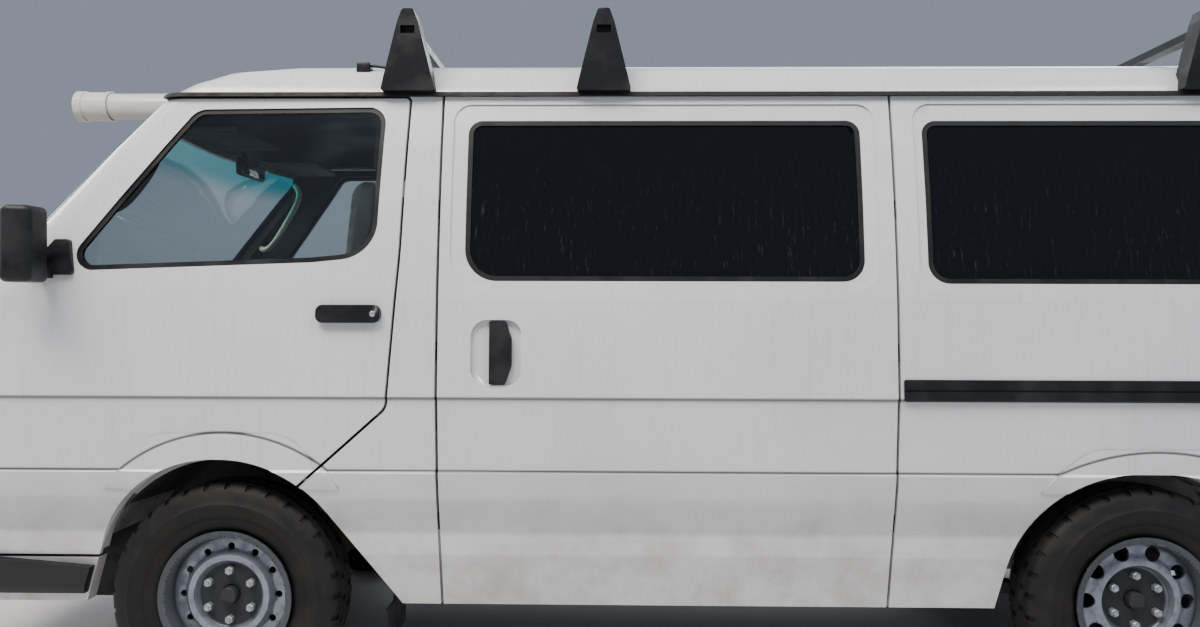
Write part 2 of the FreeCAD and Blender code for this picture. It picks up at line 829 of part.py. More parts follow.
def floor_pan():
    """Footwell, box over the front wheels, load floor and wheel housings."""
    low = s.footwell_top - s.floor_thick
    box_front = front_axle - 345
    box_back = front_axle + 560
    plates = [
        block(front_axle - 800, box_front + 1, -FAR, FAR, low, s.footwell_top),
        block(front_axle - 780, front_axle - 770, -FAR, FAR, low, 1130),
        block(box_front, box_front + s.floor_thick, -FAR, FAR, low, s.seat_box_top),
        block(box_front, box_back, -FAR, FAR, s.seat_box_top - s.floor_thick, s.seat_box_top),
        block(box_back - s.floor_thick, box_back, -FAR, FAR, s.floor_top - 60, s.seat_box_top),
        block(box_back - 1, BACK_X, -FAR, FAR, s.floor_top - s.floor_thick, s.floor_top),
    ]
    hollows = []
    for axle, radius, inside, low in (
        (front_axle, s.front_well, 430, s.tyre_radius + 165),
        (rear_axle, s.rear_well, 610, s.tyre_radius + 50),
    ):
        for side in (LEFT, RIGHT):
            start = Vector(axle, side * (inside - s.well_thick), s.tyre_radius)
            outward = Vector(0, side, 0)
            housing = Part.makeCylinder(radius + s.well_thick, 400, start, outward)
            plates.append(housing.common(block(FRONT_X, BACK_X, -FAR, FAR, low, FAR)))
            start = Vector(axle, side * inside, s.tyre_radius)
            hollows.append(Part.makeCylinder(radius, 400, start, outward))
    pan = plates[0].multiFuse(plates[1:])
    for hollow in hollows:
        pan = pan.cut(hollow)
    pan = pan.common(form(s.wall + s.fit_gap, True))
    door_zone = left_prism(FRONT_DOOR, s.shut_gap).cut(form(s.wall + s.shut_gap, True))
    gate_zone = back_prism(TAILGATE, s.shut_gap).cut(form(s.wall + s.shut_gap, True))
    return both_sides(pan, door_zone).cut(gate_zone)


node("floor_pan", floor_pan())


def dashboard():
    """The dashboard, rounded over its top, with a hood over the dials."""
    corners = stations((
        (-769.7, 800, 0),
        (-769.7, 1128, 0),
        (-640, 1150, 30),
        (-540, 1110, 45),
        (-560, 980, 30),
        (-620, 800, 40),
    ))
    slab = prism(corners, SIDEWAYS, -690, 690).common(form(s.wall + s.shut_gap, True))
    hood = stations(((-690, 1120, 0), (-660, 1195, 25), (-530, 1170, 20), (-550, 1090, 0)))
    return slab.fuse(prism(hood, SIDEWAYS, 180, 560))




def bind(thing, **sizes):
    """Ties an object's properties to the sheet."""
    for name, size in sizes.items():
        thing.setExpression(name.replace("_at_", "."), text(size))


def bar(label, x, y, z, length, width, height):
    """A box with its low corner at x, y, z, all tied to the sheet."""
    thing = doc.addObject("Part::Box", label)
    bind(thing, Length=length, Width=width, Height=height)
    for axis, size in (("x", x), ("y", y), ("z", z)):
        thing.setExpression(f"Placement.Base.{axis}", text(size))
    return thing


def round_bar(label, x, y, z, radius, length, turn):
    """A cylinder from x, y, z along its turned axis, tied to the sheet."""
    thing = doc.addObject("Part::Cylinder", label)
    bind(thing, Radius=radius, Height=length)
    thing.Placement = Placement(Vector(0, 0, 0), turn)
    for axis, size in (("x", x), ("y", y), ("z", z)):
        thing.setExpression(f"Placement.Base.{axis}", text(size))
    return thing


ALONG = Rotation(Vector(0, 1, 0), 90)
ACROSS = Rotation(Vector(1, 0, 0), -90)


def joined(label, parts):
    """Objects fused into one solid."""
    thing = doc.addObject("Part::MultiFuse", label)
    thing.Shapes = parts
    return thing


def seat(across):
    """A front seat's plain soft solid: cushion, leaning back and headrest."""
    front = front_axle - 190
    cushion = block(front, front + 520, across - 240, across + 240, s.seat_box_top + s.fit_gap, 1030)
    back = prism(
        [(front + 400, 940, 30), (front + 500, 1560, 50), (front + 600, 1560, 50), (front + 540, 900, 30)],
        SIDEWAYS, across - 230, across + 230,
    )
    rest = prism(
        [(front + 512, 1550, 20), (front + 530, 1720, 35), (front + 610, 1720, 35), (front + 600, 1550, 20)],
        SIDEWAYS, across - 120, across + 120,
    )
    return cushion.fuse(back).fuse(rest)


node("front_seats", Part.makeCompound([seat(380), seat(-380)]))

# The steering wheel's own axis leans back from upright by this
COLUMN_LEAN = 52
column_end = Vector(front_axle - 395, 380, 1165)
column_line = Vector(math.cos(math.radians(COLUMN_LEAN)), 0, math.sin(math.radians(COLUMN_LEAN)))


def steering_wheel():
    """A ring on three spokes and a padded boss."""
    ring_bar = Part.makeTorus(s.wheel_ring, s.wheel_grip)
    spokes = []
    for turn in (0, 120, 240):
        spoke = Part.makeBox(s.wheel_ring - 10, 30, 10, Vector(10, -15, -19))
        spoke.rotate(Vector(0, 0, 0), Vector(0, 0, 1), turn + 90)
        spokes.append(spoke)
    boss = Part.makeCone(48, 40, 34, Vector(0, 0, -34))
    neck = Part.makeCylinder(16, 40, Vector(0, 0, -70))
    rim = ring_bar.multiFuse(spokes + [boss, neck])
    return rim


turn_up = Rotation(Vector(0, 0, 1), column_line)
ring_piece = node("steering_wheel", steering_wheel())
ring_piece.Placement = Placement(column_end, turn_up)
column = rod(column_end - column_line * 390, column_end - column_line * (70 + s.fit_gap), 26)
node("dashboard", dashboard().fuse(column))

engine = bar("engine", front_axle + 70, -260, 330, 450, 520, 480)
node("engine", engine)

# The spare wheel's middle behind the front axle, and the tow plate's thickness
SPARE_AT = 3130
TOW_PLATE = 16
rails = []
for side in (LEFT, RIGHT):
    rails.append(bar(f"rail_{side}", front_axle - 900, side * 345 - 35, 470, s.wheelbase + 1780, 70, 88))
for index, along in enumerate((-880, -500, 700, 1500, 2000, SPARE_AT - 30)):
    rails.append(bar(f"cross_{index}", front_axle + along, -310, 480, 60, 620, 60))
ladder = doc.addObject("Part::Compound", "chassis_ladder")
ladder.Links = rails
node("chassis_rails", ladder)
tow_plate = bar("tow_plate_blank", front_axle - 815, -310, 470, 100, 84, TOW_PLATE)
tow_hole = round_bar("tow_hole", front_axle - 765, -265, 440, s.tow_eye, 90, Rotation())
pierced = doc.addObject("Part::Cut", "tow_plate_pierced")
pierced.Base = tow_plate
pierced.Tool = tow_hole
node("front_tow_plate", pierced)


def revolved(label, profile, holes=()):
    """A body turned about its own Z axis from a half section given as
    (radius, height) corners, with rings of round holes cut through it."""
    body = doc.addObject("PartDesign::Body", label)
    planes = {item.Role: item for item in body.Origin.OriginFeatures}
    section = body.newObject("Sketcher::SketchObject", f"{label}_section")
    section.AttachmentSupport = [(planes["XZ_Plane"], "")]
    section.MapMode = "FlatFace"
    count = len(profile)
    for index in range(count):
        start = Vector(*[float(v) for v in profile[index]], 0)
        end = Vector(*[float(v) for v in profile[(index + 1) % count]], 0)
        section.addGeometry(Part.LineSegment(start, end), False)
    for index in range(count):
        section.addConstraint(Sketcher.Constraint("Coincident", index, 2, (index + 1) % count, 1))
    for index, (radius, height) in enumerate(profile):
        for kind, size in (("DistanceX", radius), ("DistanceY", height)):
            rule = section.addConstraint(Sketcher.Constraint(kind, -1, 1, index, 1, float(size)))
            section.setExpression(f"Constraints[{rule}]", text(size))
    turned = body.newObject("PartDesign::Revolution", f"{label}_turned")
    turned.Profile = section
    turned.ReferenceAxis = (section, ["V_Axis"])
    turned.Angle = 360
    for number, (at, radius, copies) in enumerate(holes):
        drawn = body.newObject("Sketcher::SketchObject", f"{label}_hole_{number}")
        drawn.AttachmentSupport = [(planes["XY_Plane"], "")]
        drawn.MapMode = "FlatFace"
        circle = Part.Circle(Vector(float(at), 0, 0), Vector(0, 0, 1), float(radius))
        drawn.addGeometry(circle, False)
        for kind, size in (("DistanceX", at), ("DistanceY", 0)):
            rule = drawn.addConstraint(Sketcher.Constraint(kind, -1, 1, 0, 3, float(size)))
            drawn.setExpression(f"Constraints[{rule}]", text(size))
        rule = drawn.addConstraint(Sketcher.Constraint("Radius", 0, float(radius)))
        drawn.setExpression(f"Constraints[{rule}]", text(radius))
        cut = body.newObject("PartDesign::Pocket", f"{label}_cut_{number}")
        cut.Profile = drawn
        cut.Type = "ThroughAll"
        cut.Midplane = True
        pattern = body.newObject("PartDesign::PolarPattern", f"{label}_ring_{number}")
        pattern.Originals = [cut]
        pattern.Axis = (planes["Z_Axis"], [""])
        pattern.Angle = 360
        pattern.Occurrences = copies
        body.Tip = pattern
    return body


half_width = s.tyre_width / 2
half_rim = s.rim_width / 2
TYRE = (
    (s.rim_seat + s.fit_gap, -half_rim + 12),
    (s.rim_radius + 12, -half_rim - 4),
    (s.tyre_radius - 78, -half_width),
    (s.tyre_radius - 20, -half_width + 10),
    (s.tyre_radius, -half_width + 30),
    (s.tyre_radius, half_width - 30),
    (s.tyre_radius - 20, half_width - 10),
    (s.tyre_radius - 78, half_width),
    (s.rim_radius + 12, half_rim + 4),
    (s.rim_seat + s.fit_gap, half_rim - 12),
)


def rim_section(disc_out, ring_out, ring_radius, centre_out):
    """The half section of a pressed steel wheel. The disc lies disc_out from
    the wheel's middle plane, its raised ring ring_out, its centre centre_out."""
    thick = s.rim_thick
    seat = s.rim_seat
    return (
        (seat, -half_rim + 12),
        (s.rim_radius, -half_rim + 4),
        (s.rim_radius, -half_rim - 3),
        (seat - thick, -half_rim + 4),
        (seat - thick - 10, -20),
        (seat - thick - 10, disc_out - 22),
        (s.disc_radius - 8, disc_out - 10),
        (ring_radius + 22, disc_out - thick),
        (ring_radius + 8, ring_out - thick),
        (ring_radius - 8, ring_out - thick),
        (ring_radius - 16, centre_out - thick),
        (s.hub_cap + 4, centre_out - thick),
        (s.hub_cap + 4, centre_out),
        (ring_radius - 18, centre_out),
        (ring_radius - 8, ring_out),
        (ring_radius + 8, ring_out),
        (ring_radius + 24, disc_out),
        (s.disc_radius - 6, disc_out),
        (seat - thick, disc_out - 6),
        (seat - thick, half_rim - 4),
        (s.rim_radius, half_rim + 3),
        (s.rim_radius, half_rim - 4),
        (seat, half_rim - 12),
        (seat, disc_out - 14),
        (seat - 10, disc_out - 26),
        (seat - 10, -18),
    )


WHEELS = (
    # name, axle, side, raised ring's radius, ring stands out, centre, holes
    ("front_left", front_axle, LEFT, s.disc_ring, 46, 28, (s.front_holes_at, s.front_hole, 12)),
    ("front_right", front_axle, RIGHT, s.disc_ring, 46, 28, (s.front_holes_at, s.front_hole, 12)),
    ("rear_left", rear_axle, LEFT, s.rear_ring, 34, 8, (s.rear_holes_at, s.rear_hole, 10)),
    ("rear_right", rear_axle, RIGHT, s.rear_ring, 34, 8, (s.rear_holes_at, s.rear_hole, 10)),
)


def wheel(name, axle, side, ring_radius, ring_out, centre_out, holes):
    """One wheel's tyre and rim, turned so that the disc faces outwards."""
    place = Placement(Vector(axle, side * s.track_half, s.tyre_radius), Rotation(Vector(1, 0, 0), -side * 90))
    tyre = revolved(f"carcass_{name}", TYRE)
    rim = revolved(f"pressing_{name}", rim_section(26, ring_out, ring_radius, centre_out), (holes,))
    tyre.Placement = place
    node(f"tyre_{name}", tyre)
    back = centre_out - s.rim_thick
    flange = round_bar(f"flange_{name}", 0, 0, back - 20, s.hub_radius, 20, Rotation())
    cap = round_bar(f"cap_{name}", 0, 0, back - 18, s.hub_cap, 18 + s.rim_thick + 24, Rotation())
    spun = joined(f"rim_joined_{name}", [rim, flange, cap])
    spun.Placement = place
    node(f"rim_{name}", spun)


for row in WHEELS:
    wheel(*row)


DRUM = 104
STUB = 40


def hub_end(axle, side, centre_out):
    """A brake drum and stub axle that reach the back of a wheel's flange."""
    end = centre_out - s.rim_thick - 20 - s.fit_gap
    pieces = [
        Part.makeCylinder(DRUM, 60, Vector(0, 0, end - 66)),
        Part.makeCylinder(STUB, 7, Vector(0, 0, end - 7)),
    ]
    drum = pieces[0].fuse(pieces[1])
    turn = Rotation(Vector(1, 0, 0), -side * 90)
    drum.Placement = Placement(Vector(axle, side * s.track_half, s.tyre_radius), turn)
    return drum


BOSS = 112


def knuckle(side):
    """A steering knuckle: brake drum, stub axle and kingpin boss."""
    king = side * (s.track_half - s.kingpin_in)
    foot = Vector(front_axle, king, s.tyre_radius - BOSS)
    return hub_end(front_axle, side, 28).fuse(Part.makeCylinder(24, 2 * BOSS, foot))


ARM_THICK = 26


def front_suspension():
    """A crossmember and, each side, two arms that hold the kingpin."""
    frame = block(front_axle - 60, front_axle + 60, -310 + s.fit_gap, 310 - s.fit_gap, 300, 470)
    pieces = [frame]
    for side in (LEFT, RIGHT):
        king = s.track_half - s.kingpin_in
        for low in (s.tyre_radius + BOSS + s.fit_gap, s.tyre_radius - BOSS - s.fit_gap - ARM_THICK):
            inner, outer = sorted((side * 300, side * (king + 18)))
            pieces.append(block(front_axle - 24, front_axle + 24, inner, outer, low, low + ARM_THICK))
            inner, outer = sorted((side * 300, side * 345))
            pieces.append(block(front_axle - 110, front_axle + 110, inner, outer, low, low + ARM_THICK))
    pieces.append(block(front_axle - 50, front_axle + 50, -305, 305, 187, 301))
    return pieces[0].multiFuse(pieces[1:])


for side, name in ((LEFT, "left"), (RIGHT, "right")):
    node(f"knuckle_{name}", knuckle(side))
node("front_suspension", front_suspension())

SPRING_AT = 425
EYE_REACH = 610


def rear_axle_beam():
    """The beam between the rear drums, with its final drive."""
    pieces = [
        rod(Vector(rear_axle, -690, s.tyre_radius), Vector(rear_axle, 690, s.tyre_radius), 38),
        rod(Vector(rear_axle - 130, 0, s.tyre_radius), Vector(rear_axle + 110, 0, s.tyre_radius), 105),
    ]
    drums = [hub_end(rear_axle, side, 8) for side in (LEFT, RIGHT)]
    return pieces[0].multiFuse(pieces[1:] + drums)


def leaf_spring():
    """The left leaf spring: bowed leaves, its eyes and their hangers."""
    low = s.tyre_radius - 38 - s.fit_gap
    bow = 100
    leaves = []
    for reach, drop in ((EYE_REACH, 0), (430, 12), (260, 24)):
        rise = bow * (reach / EYE_REACH) ** 2
        points = [Vector(rear_axle + share * reach, 0, low - drop - 12 + rise * share**2) for share in (-1, 0, 1)]
        upper = Part.Arc(*points).toShape()
        lower = upper.translated(Vector(0, 0, -12))
        face = Part.makeRuledSurface(upper, lower)
        leaf = face.extrude(Vector(0, 60, 0))
        leaf.translate(Vector(0, -SPRING_AT - 30, 0))
        leaves.append(leaf)
    leaves.append(block(rear_axle - 50, rear_axle + 50, -SPRING_AT - 36, -SPRING_AT + 36, low - 14, low))
    for end in (-1, 1):
        x = rear_axle + end * EYE_REACH
        eye = low - 18 + bow
        leaves.append(rod(Vector(x, -SPRING_AT - 34, eye), Vector(x, -380.3, eye), 26))
        leaves.append(block(x - 24, x + 24, -SPRING_AT + 25, -380.3, eye, 540))
    return leaves[0].multiFuse(leaves[1:])



tank = Part.makeBox(560, 300, 210, Vector(front_axle + 1050, -690, 345))
tank = tank.makeFillet(40, tank.Edges)
straps = [block(front_axle + x, front_axle + x + 40, -700, -380.3, 555, 562) for x in (1150, 1460)]
node("fuel_tank", tank.multiFuse(straps))

shaft_front = Vector(front_axle + 522.2, 0, 440)
shaft_back = Vector(rear_axle - 130.3, 0, s.tyre_radius + 10)
driven = [rear_axle_beam(), both(leaf_spring()), rod(shaft_front, shaft_back, 32)]
node("rear_axle", Part.makeCompound(driven))


def exhaust():
    """Pipe, silencer and a side outlet ahead of the right rear wheel."""
    across, level = 238, 408
    start = Vector(front_axle + 520.3, across, level)
    bend = Vector(front_axle + 1640, across, level)
    side = Vector(front_axle + 1640, 650, level)
    pieces = [
        rod(start, bend, 22),
        rod(Vector(front_axle + 860, across, level), Vector(front_axle + 1340, across, level), 60),
        Part.makeSphere(22, bend),
        rod(bend, side, 22),
        Part.makeSphere(22, side),
        rod(side, side + Vector(20, 10, -90), 22),
        block(front_axle + 720, front_axle + 740, across - 10, across + 10, level, 480 - s.fit_gap),
        block(front_axle + 1520, front_axle + 1540, across - 10, across + 10, level, 480 - s.fit_gap),
    ]
    return pieces[0].multiFuse(pieces[1:])


node("exhaust", exhaust())


def spare_wheel():
    """The spare, flat under the load floor, hung on its centre bolt."""
    outline = [Vector(float(radius), 0, float(height)) for radius, height in TYRE]
    tyre = Part.Face(Part.makePolygon(outline + outline[:1])).revolve(Vector(0, 0, 0), Vector(0, 0, 1))
    disc = Part.makeCylinder(s.rim_seat + s.fit_gap, s.rim_thick, Vector(0, 0, 20))
    barrel = Part.makeCylinder(s.rim_seat + s.fit_gap, s.rim_width - 30, Vector(0, 0, -half_rim + 15))
    barrel = barrel.cut(Part.makeCylinder(s.rim_seat - s.rim_thick, s.rim_width, Vector(0, 0, -half_rim)))
    bolt = Part.makeCylinder(16, 100, Vector(0, 0, 20))
    whole = tyre.multiFuse([disc, barrel, bolt])
    whole.translate(Vector(front_axle + SPARE_AT, 0, 480 - s.fit_gap - 120))
    return whole


node("spare_wheel", spare_wheel())


def mud_flap(axle, behind, inner):
    """The left flap behind a wheel, hung inside the sill."""
    x = axle + behind
    upper = block(x, x + 8, -(s.tuck_half - s.wall - 6), -inner, 190, 500)
    upper = upper.common(form(s.wall + s.fit_gap, True))
    return upper.fuse(block(x, x + 8, -790, -inner, 190, s.sill_height - 4))


flaps = [mud_flap(front_axle, 452, 560), mud_flap(rear_axle, 398, 640)]
node("mud_flaps", Part.makeCompound([both(flap) for flap in flaps]))


def wiper(low, high, pivot):
    """A wiper blade along the windscreen, from low to high, and its arm."""
    pieces = []
    middle = (low + high) / 2
    for start, end, width, outer in ((low, high, 9, 16), (pivot, middle, 13, 26)):
        along = end - start
        along.normalize()
        square = Vector(-along.y, along.x, 0) * (width / 2)
        rows = [(p.x, p.y, 0) for p in (start - square, start + square, end + square, end - square)]
        pieces.append(front_prism(rows).common(form(-outer)).cut(form(-2, True)))
    post = front_prism([(pivot.x - 14, pivot.y - 14, 6), (pivot.x - 14, pivot.y + 14, 6),
                        (pivot.x + 14, pivot.y + 14, 6), (pivot.x + 14, pivot.y - 14, 6)])
    pieces.append(post.common(form(-28)).cut(form(-s.fit_gap)))
    return pieces[0].multiFuse(pieces[1:])


wipers = [
    wiper(Vector(-640, 1262, 0), Vector(-90, 1262, 0), Vector(-60, 1188, 0)),
    wiper(Vector(-20, 1262, 0), Vector(560, 1262, 0), Vector(590, 1188, 0)),
]
node("wipers", Part.makeCompound(wipers))

RACK_STATIONS = (505, 1064, 2770)
TOWER = (
    (-78, 1765.3, 6),
    (-70, 1800, 20),
    (-30, 1960, 20),
    (-16, 1998, 8),
    (16, 1998, 8),
    (30, 1960, 20),
    (70, 1800, 20),
    (78, 1765.3, 6),
)
bars = []
towers = []
for at in RACK_STATIONS:
    low = s.rack_bar_top - s.rack_bar_height
    length = 1470
    piece = bar(f"roof_bar_{at}", front_axle + at - s.rack_bar_width / 2, -length / 2, low,
                s.rack_bar_width, length, s.rack_bar_height)
    bars.append(piece)
    bars.append(bar(f"grip_strip_{at}", front_axle + at - 12, -660, s.rack_bar_top + s.fit_gap, 24, 1140, 3))
    slot = block(front_axle + at - 20.3, front_axle + at + 20.3, -FAR, FAR, low - 0.3, s.rack_bar_top + 0.3)
    tower = prism(stations(TOWER, front_axle + at), SIDEWAYS, -756, -690)
    tower = tower.cut(form(-1)).cut(slot)
    towers += tower.Solids + mirrored(tower).Solids
doc.recompute()
node("roof_rack", Part.makeCompound(towers + [piece.Shape for piece in bars]))

tube_z = s.rack_bar_top + s.fit_gap + s.tube_radius
tube_front = Vector(front_axle - s.tube_lead + 12, s.tube_out, tube_z)
tube_back = tube_front + Vector(4180, 0, 0)
pipe = rod(tube_front, tube_back, s.tube_radius).cut(rod(tube_front, tube_back, s.tube_radius - s.tube_wall))


def tube_cap(end, direction, length):
    """A cap that closes the carrier tube, with a thicker rolled rim."""
    start = end + direction * 12
    end = end + direction * s.fit_gap
    cap = rod(start, end - direction * length, s.tube_radius + 6)
    rim = rod(start, end - direction * 22, s.tube_radius + 10)
    back = rod(end - direction * (length - 14), end - direction * length, s.tube_radius + 9)
    return cap.multiFuse([rim, back]).cut(rod(end, end - direction * (length + 1), s.tube_radius + s.fit_gap))


forward = Vector(-1, 0, 0)
caps = [tube_cap(tube_front, forward, 130), tube_cap(tube_back, -forward, 60)]
node("carrier_tube", Part.makeCompound([pipe] + caps))
clamps = []
for at in RACK_STATIONS:
    middle = Vector(front_axle + at, s.tube_out, tube_z)
    inner, outer = s.tube_radius + s.fit_gap, s.tube_radius + 4
    reach = Vector(14, 0, 0)
    clamp = rod(middle - reach, middle + reach, outer)
    legs = block(middle.x - 14, middle.x + 14, s.tube_out - outer, s.tube_out + outer,
                 s.rack_bar_top + s.fit_gap, tube_z)
    feet = block(middle.x - 14, middle.x + 14, s.tube_out - outer - 26, s.tube_out + outer + 26,
                 s.rack_bar_top + s.fit_gap, s.rack_bar_top + 5)
    clamp = clamp.multiFuse([legs, feet])
    hole = rod(middle - reach * 2, middle + reach * 2, inner)
    slot = block(middle.x - 20, middle.x + 20, s.tube_out - inner, s.tube_out + inner,
                 s.rack_bar_top, tube_z)
    under = block(middle.x - 20, middle.x + 20, -FAR, FAR, s.rack_bar_top - 20, s.rack_bar_top + s.fit_gap)
    clamps.append(clamp.cut(hole).cut(slot).cut(under))
node("tube_clamps", Part.makeCompound(clamps))


def check_and_export():
    """Writes each node's file, once every object is sound."""
    doc.recompute()
    for thing in doc.Objects:
        if "Invalid" in thing.State or "Error" in thing.State:
            raise RuntimeError(f"{thing.Label} did not build: {thing.State}")
    for thing in NODES:
        if thing.Shape.isNull() or not thing.Shape.isValid():
            raise RuntimeError(f"{thing.Label} has no sound shape")
    os.makedirs("parts", exist_ok=True)
    for thing in NODES:
        thing.Shape.exportStep(f"parts/{thing.Label}.step")
    print(len(NODES), "nodes")


check_and_export()
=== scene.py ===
"""Looks of the panel van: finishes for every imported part, treaded tyres,
padded seats and the small fittings round and inside the cab."""

import json
import math

import bpy
from mathutils import Matrix, Vector

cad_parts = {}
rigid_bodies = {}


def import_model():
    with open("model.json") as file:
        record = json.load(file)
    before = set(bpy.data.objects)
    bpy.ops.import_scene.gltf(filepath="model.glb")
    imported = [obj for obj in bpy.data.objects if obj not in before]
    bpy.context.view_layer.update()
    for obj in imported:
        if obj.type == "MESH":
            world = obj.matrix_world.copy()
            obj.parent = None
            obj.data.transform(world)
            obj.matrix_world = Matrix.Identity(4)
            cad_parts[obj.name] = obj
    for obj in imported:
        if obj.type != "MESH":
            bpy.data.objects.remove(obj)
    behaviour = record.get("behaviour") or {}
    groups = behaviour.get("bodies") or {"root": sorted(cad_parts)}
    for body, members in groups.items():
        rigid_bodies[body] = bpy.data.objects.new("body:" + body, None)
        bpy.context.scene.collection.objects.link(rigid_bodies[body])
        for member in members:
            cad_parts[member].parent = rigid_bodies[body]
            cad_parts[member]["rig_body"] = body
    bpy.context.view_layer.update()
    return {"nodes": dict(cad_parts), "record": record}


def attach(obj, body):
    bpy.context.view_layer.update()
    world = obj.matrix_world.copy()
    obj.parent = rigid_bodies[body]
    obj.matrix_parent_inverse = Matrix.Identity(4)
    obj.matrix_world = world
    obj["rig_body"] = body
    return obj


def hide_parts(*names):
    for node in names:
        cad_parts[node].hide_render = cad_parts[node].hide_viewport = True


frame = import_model()
bpy.ops.object.select_all(action="DESELECT")

# Places in metres: x runs back from the nose, y to the right, z up
LEFT, RIGHT = -1, 1
SIDES = (("left", LEFT), ("right", RIGHT))
FRONT_AXLE = -1.2045
REAR_AXLE = 1.3655
TRACK_HALF = 0.725
AXLE_UP = 0.325
# The middle of a headlamp, as its distance from the van's middle and height
LAMP_MIDDLE = (0.57, 0.73)
LAMP_RADIUS = 0.066
# The side's pressed lines: their heights, and the lower one's arcs over the
# wheels as the middle's place along and up, and the radius
CREASE_UP = 0.692
WAIST_UP = 0.8955
FLARES = ((-1.197, 0.342, 0.455), (1.382, 0.149, 0.606))
# The sides start where the skin is this far from the van's middle
SIDE_FROM, SIDE_BY = 0.77, 0.79

slot_of = {part["node"]: part["material_slot"] for part in frame["record"]["subparts"]}
body_of = {node.name: node["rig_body"] for node in frame["nodes"].values()}


# Finishes

class Finish:
    """A material whose nodes are added one after another."""

    def __init__(self, name):
        self.material = bpy.data.materials.new(name)
        self.material.use_nodes = True
        self.tree = self.material.node_tree
        self.shader = self.tree.nodes["Principled BSDF"]
        self.place = self.node("ShaderNodeTexCoord").outputs["Object"]

    def node(self, kind, **settings):
        made = self.tree.nodes.new(kind)
        for key, value in settings.items():
            setattr(made, key, value)
        return made

    def join(self, start, end):
        self.tree.links.new(start, end)

    def stretched(self, scale, move=(0, 0, 0)):
        """Object coordinates, scaled and then moved."""
        mapping = self.node("ShaderNodeMapping")
        mapping.inputs["Scale"].default_value = scale
        mapping.inputs["Location"].default_value = move
        self.join(self.place, mapping.inputs["Vector"])
        return mapping.outputs["Vector"]

    def noise(self, scale, detail=3, rough=0.55, vector=None):
        made = self.node("ShaderNodeTexNoise")
        made.inputs["Scale"].default_value = scale
        made.inputs["Detail"].default_value = detail
        made.inputs["Roughness"].default_value = rough
        self.join(vector or self.place, made.inputs["Vector"])
        return made.outputs["Fac"]

    def cells(self, scale):
        made = self.node("ShaderNodeTexVoronoi")
        made.inputs["Scale"].default_value = scale
        self.join(self.place, made.inputs["Vector"])
        return made.outputs["Distance"]

    def waves(self, scale, direction, distortion=0):
        made = self.node("ShaderNodeTexWave", bands_direction=direction)
        made.inputs["Scale"].default_value = scale
        made.inputs["Distortion"].default_value = distortion
        self.join(self.place, made.inputs["Vector"])
        return made.outputs["Fac"]

    def ramp(self, value, low, high, start=0, end=1):
        """Goes smoothly from start to end as a value goes from low to high."""
        made = self.node("ShaderNodeMapRange", interpolation_type="SMOOTHSTEP")
        made.inputs["From Min"].default_value = low
        made.inputs["From Max"].default_value = high
        made.inputs["To Min"].default_value = start
        made.inputs["To Max"].default_value = end
        self.join(value, made.inputs["Value"])
        return made.outputs["Result"]

    def sum(self, operation, first, second):
        """The result of a mathematical operation on numbers or sockets."""
        made = self.node("ShaderNodeMath", operation=operation)
        for index, value in enumerate((first, second)):
            if isinstance(value, (int, float)):
                made.inputs[index].default_value = value
            else:
                self.join(value, made.inputs[index])
        return made.outputs["Value"]

    def along(self, axis):
        made = self.node("ShaderNodeSeparateXYZ")
        self.join(self.place, made.inputs["Vector"])
        return made.outputs[axis]

    def height(self):
        return self.along("Z")

    def reach(self, x, z):
        """The distance from a line that runs across the van."""
        made = self.node("ShaderNodeVectorMath", operation="LENGTH")
        self.join(self.stretched((1, 0, 1), move=(-x, 0, -z)), made.inputs[0])
        return made.outputs["Value"]

    def near(self, value, place, width):
        """1 where a value is at a place, down to 0 a width away."""
        away = self.sum("ABSOLUTE", self.sum("SUBTRACT", value, place), 0)
        return self.ramp(away, 0, width, 1, 0)

    def blend(self, share, first, second):
        """A mix of two colours: the first at share 0, the second at 1."""
        made = self.node("ShaderNodeMix", data_type="RGBA")
        self.join(share, made.inputs["Factor"])
        for socket, value in ((made.inputs[6], first), (made.inputs[7], second)):
            if isinstance(value, tuple):
                socket.default_value = (*value, 1)
            else:
                self.join(value, socket)
        return made.outputs[2]

    def colour(self, value):
        self.join(value, self.shader.inputs["Base Color"])

    def roughness(self, value):
        self.join(value, self.shader.inputs["Roughness"])

    def bump(self, value, strength, distance, under=None):
        made = self.node("ShaderNodeBump")
        made.inputs["Strength"].default_value = strength
        made.inputs["Distance"].default_value = distance
        self.join(value, made.inputs["Height"])
        if under:
            self.join(under, made.inputs["Normal"])
        self.join(made.outputs["Normal"], self.shader.inputs["Normal"])
        return made.outputs["Normal"]

    def set(self, **values):
        for name, value in values.items():
            self.shader.inputs[name.replace("_", " ")].default_value = value


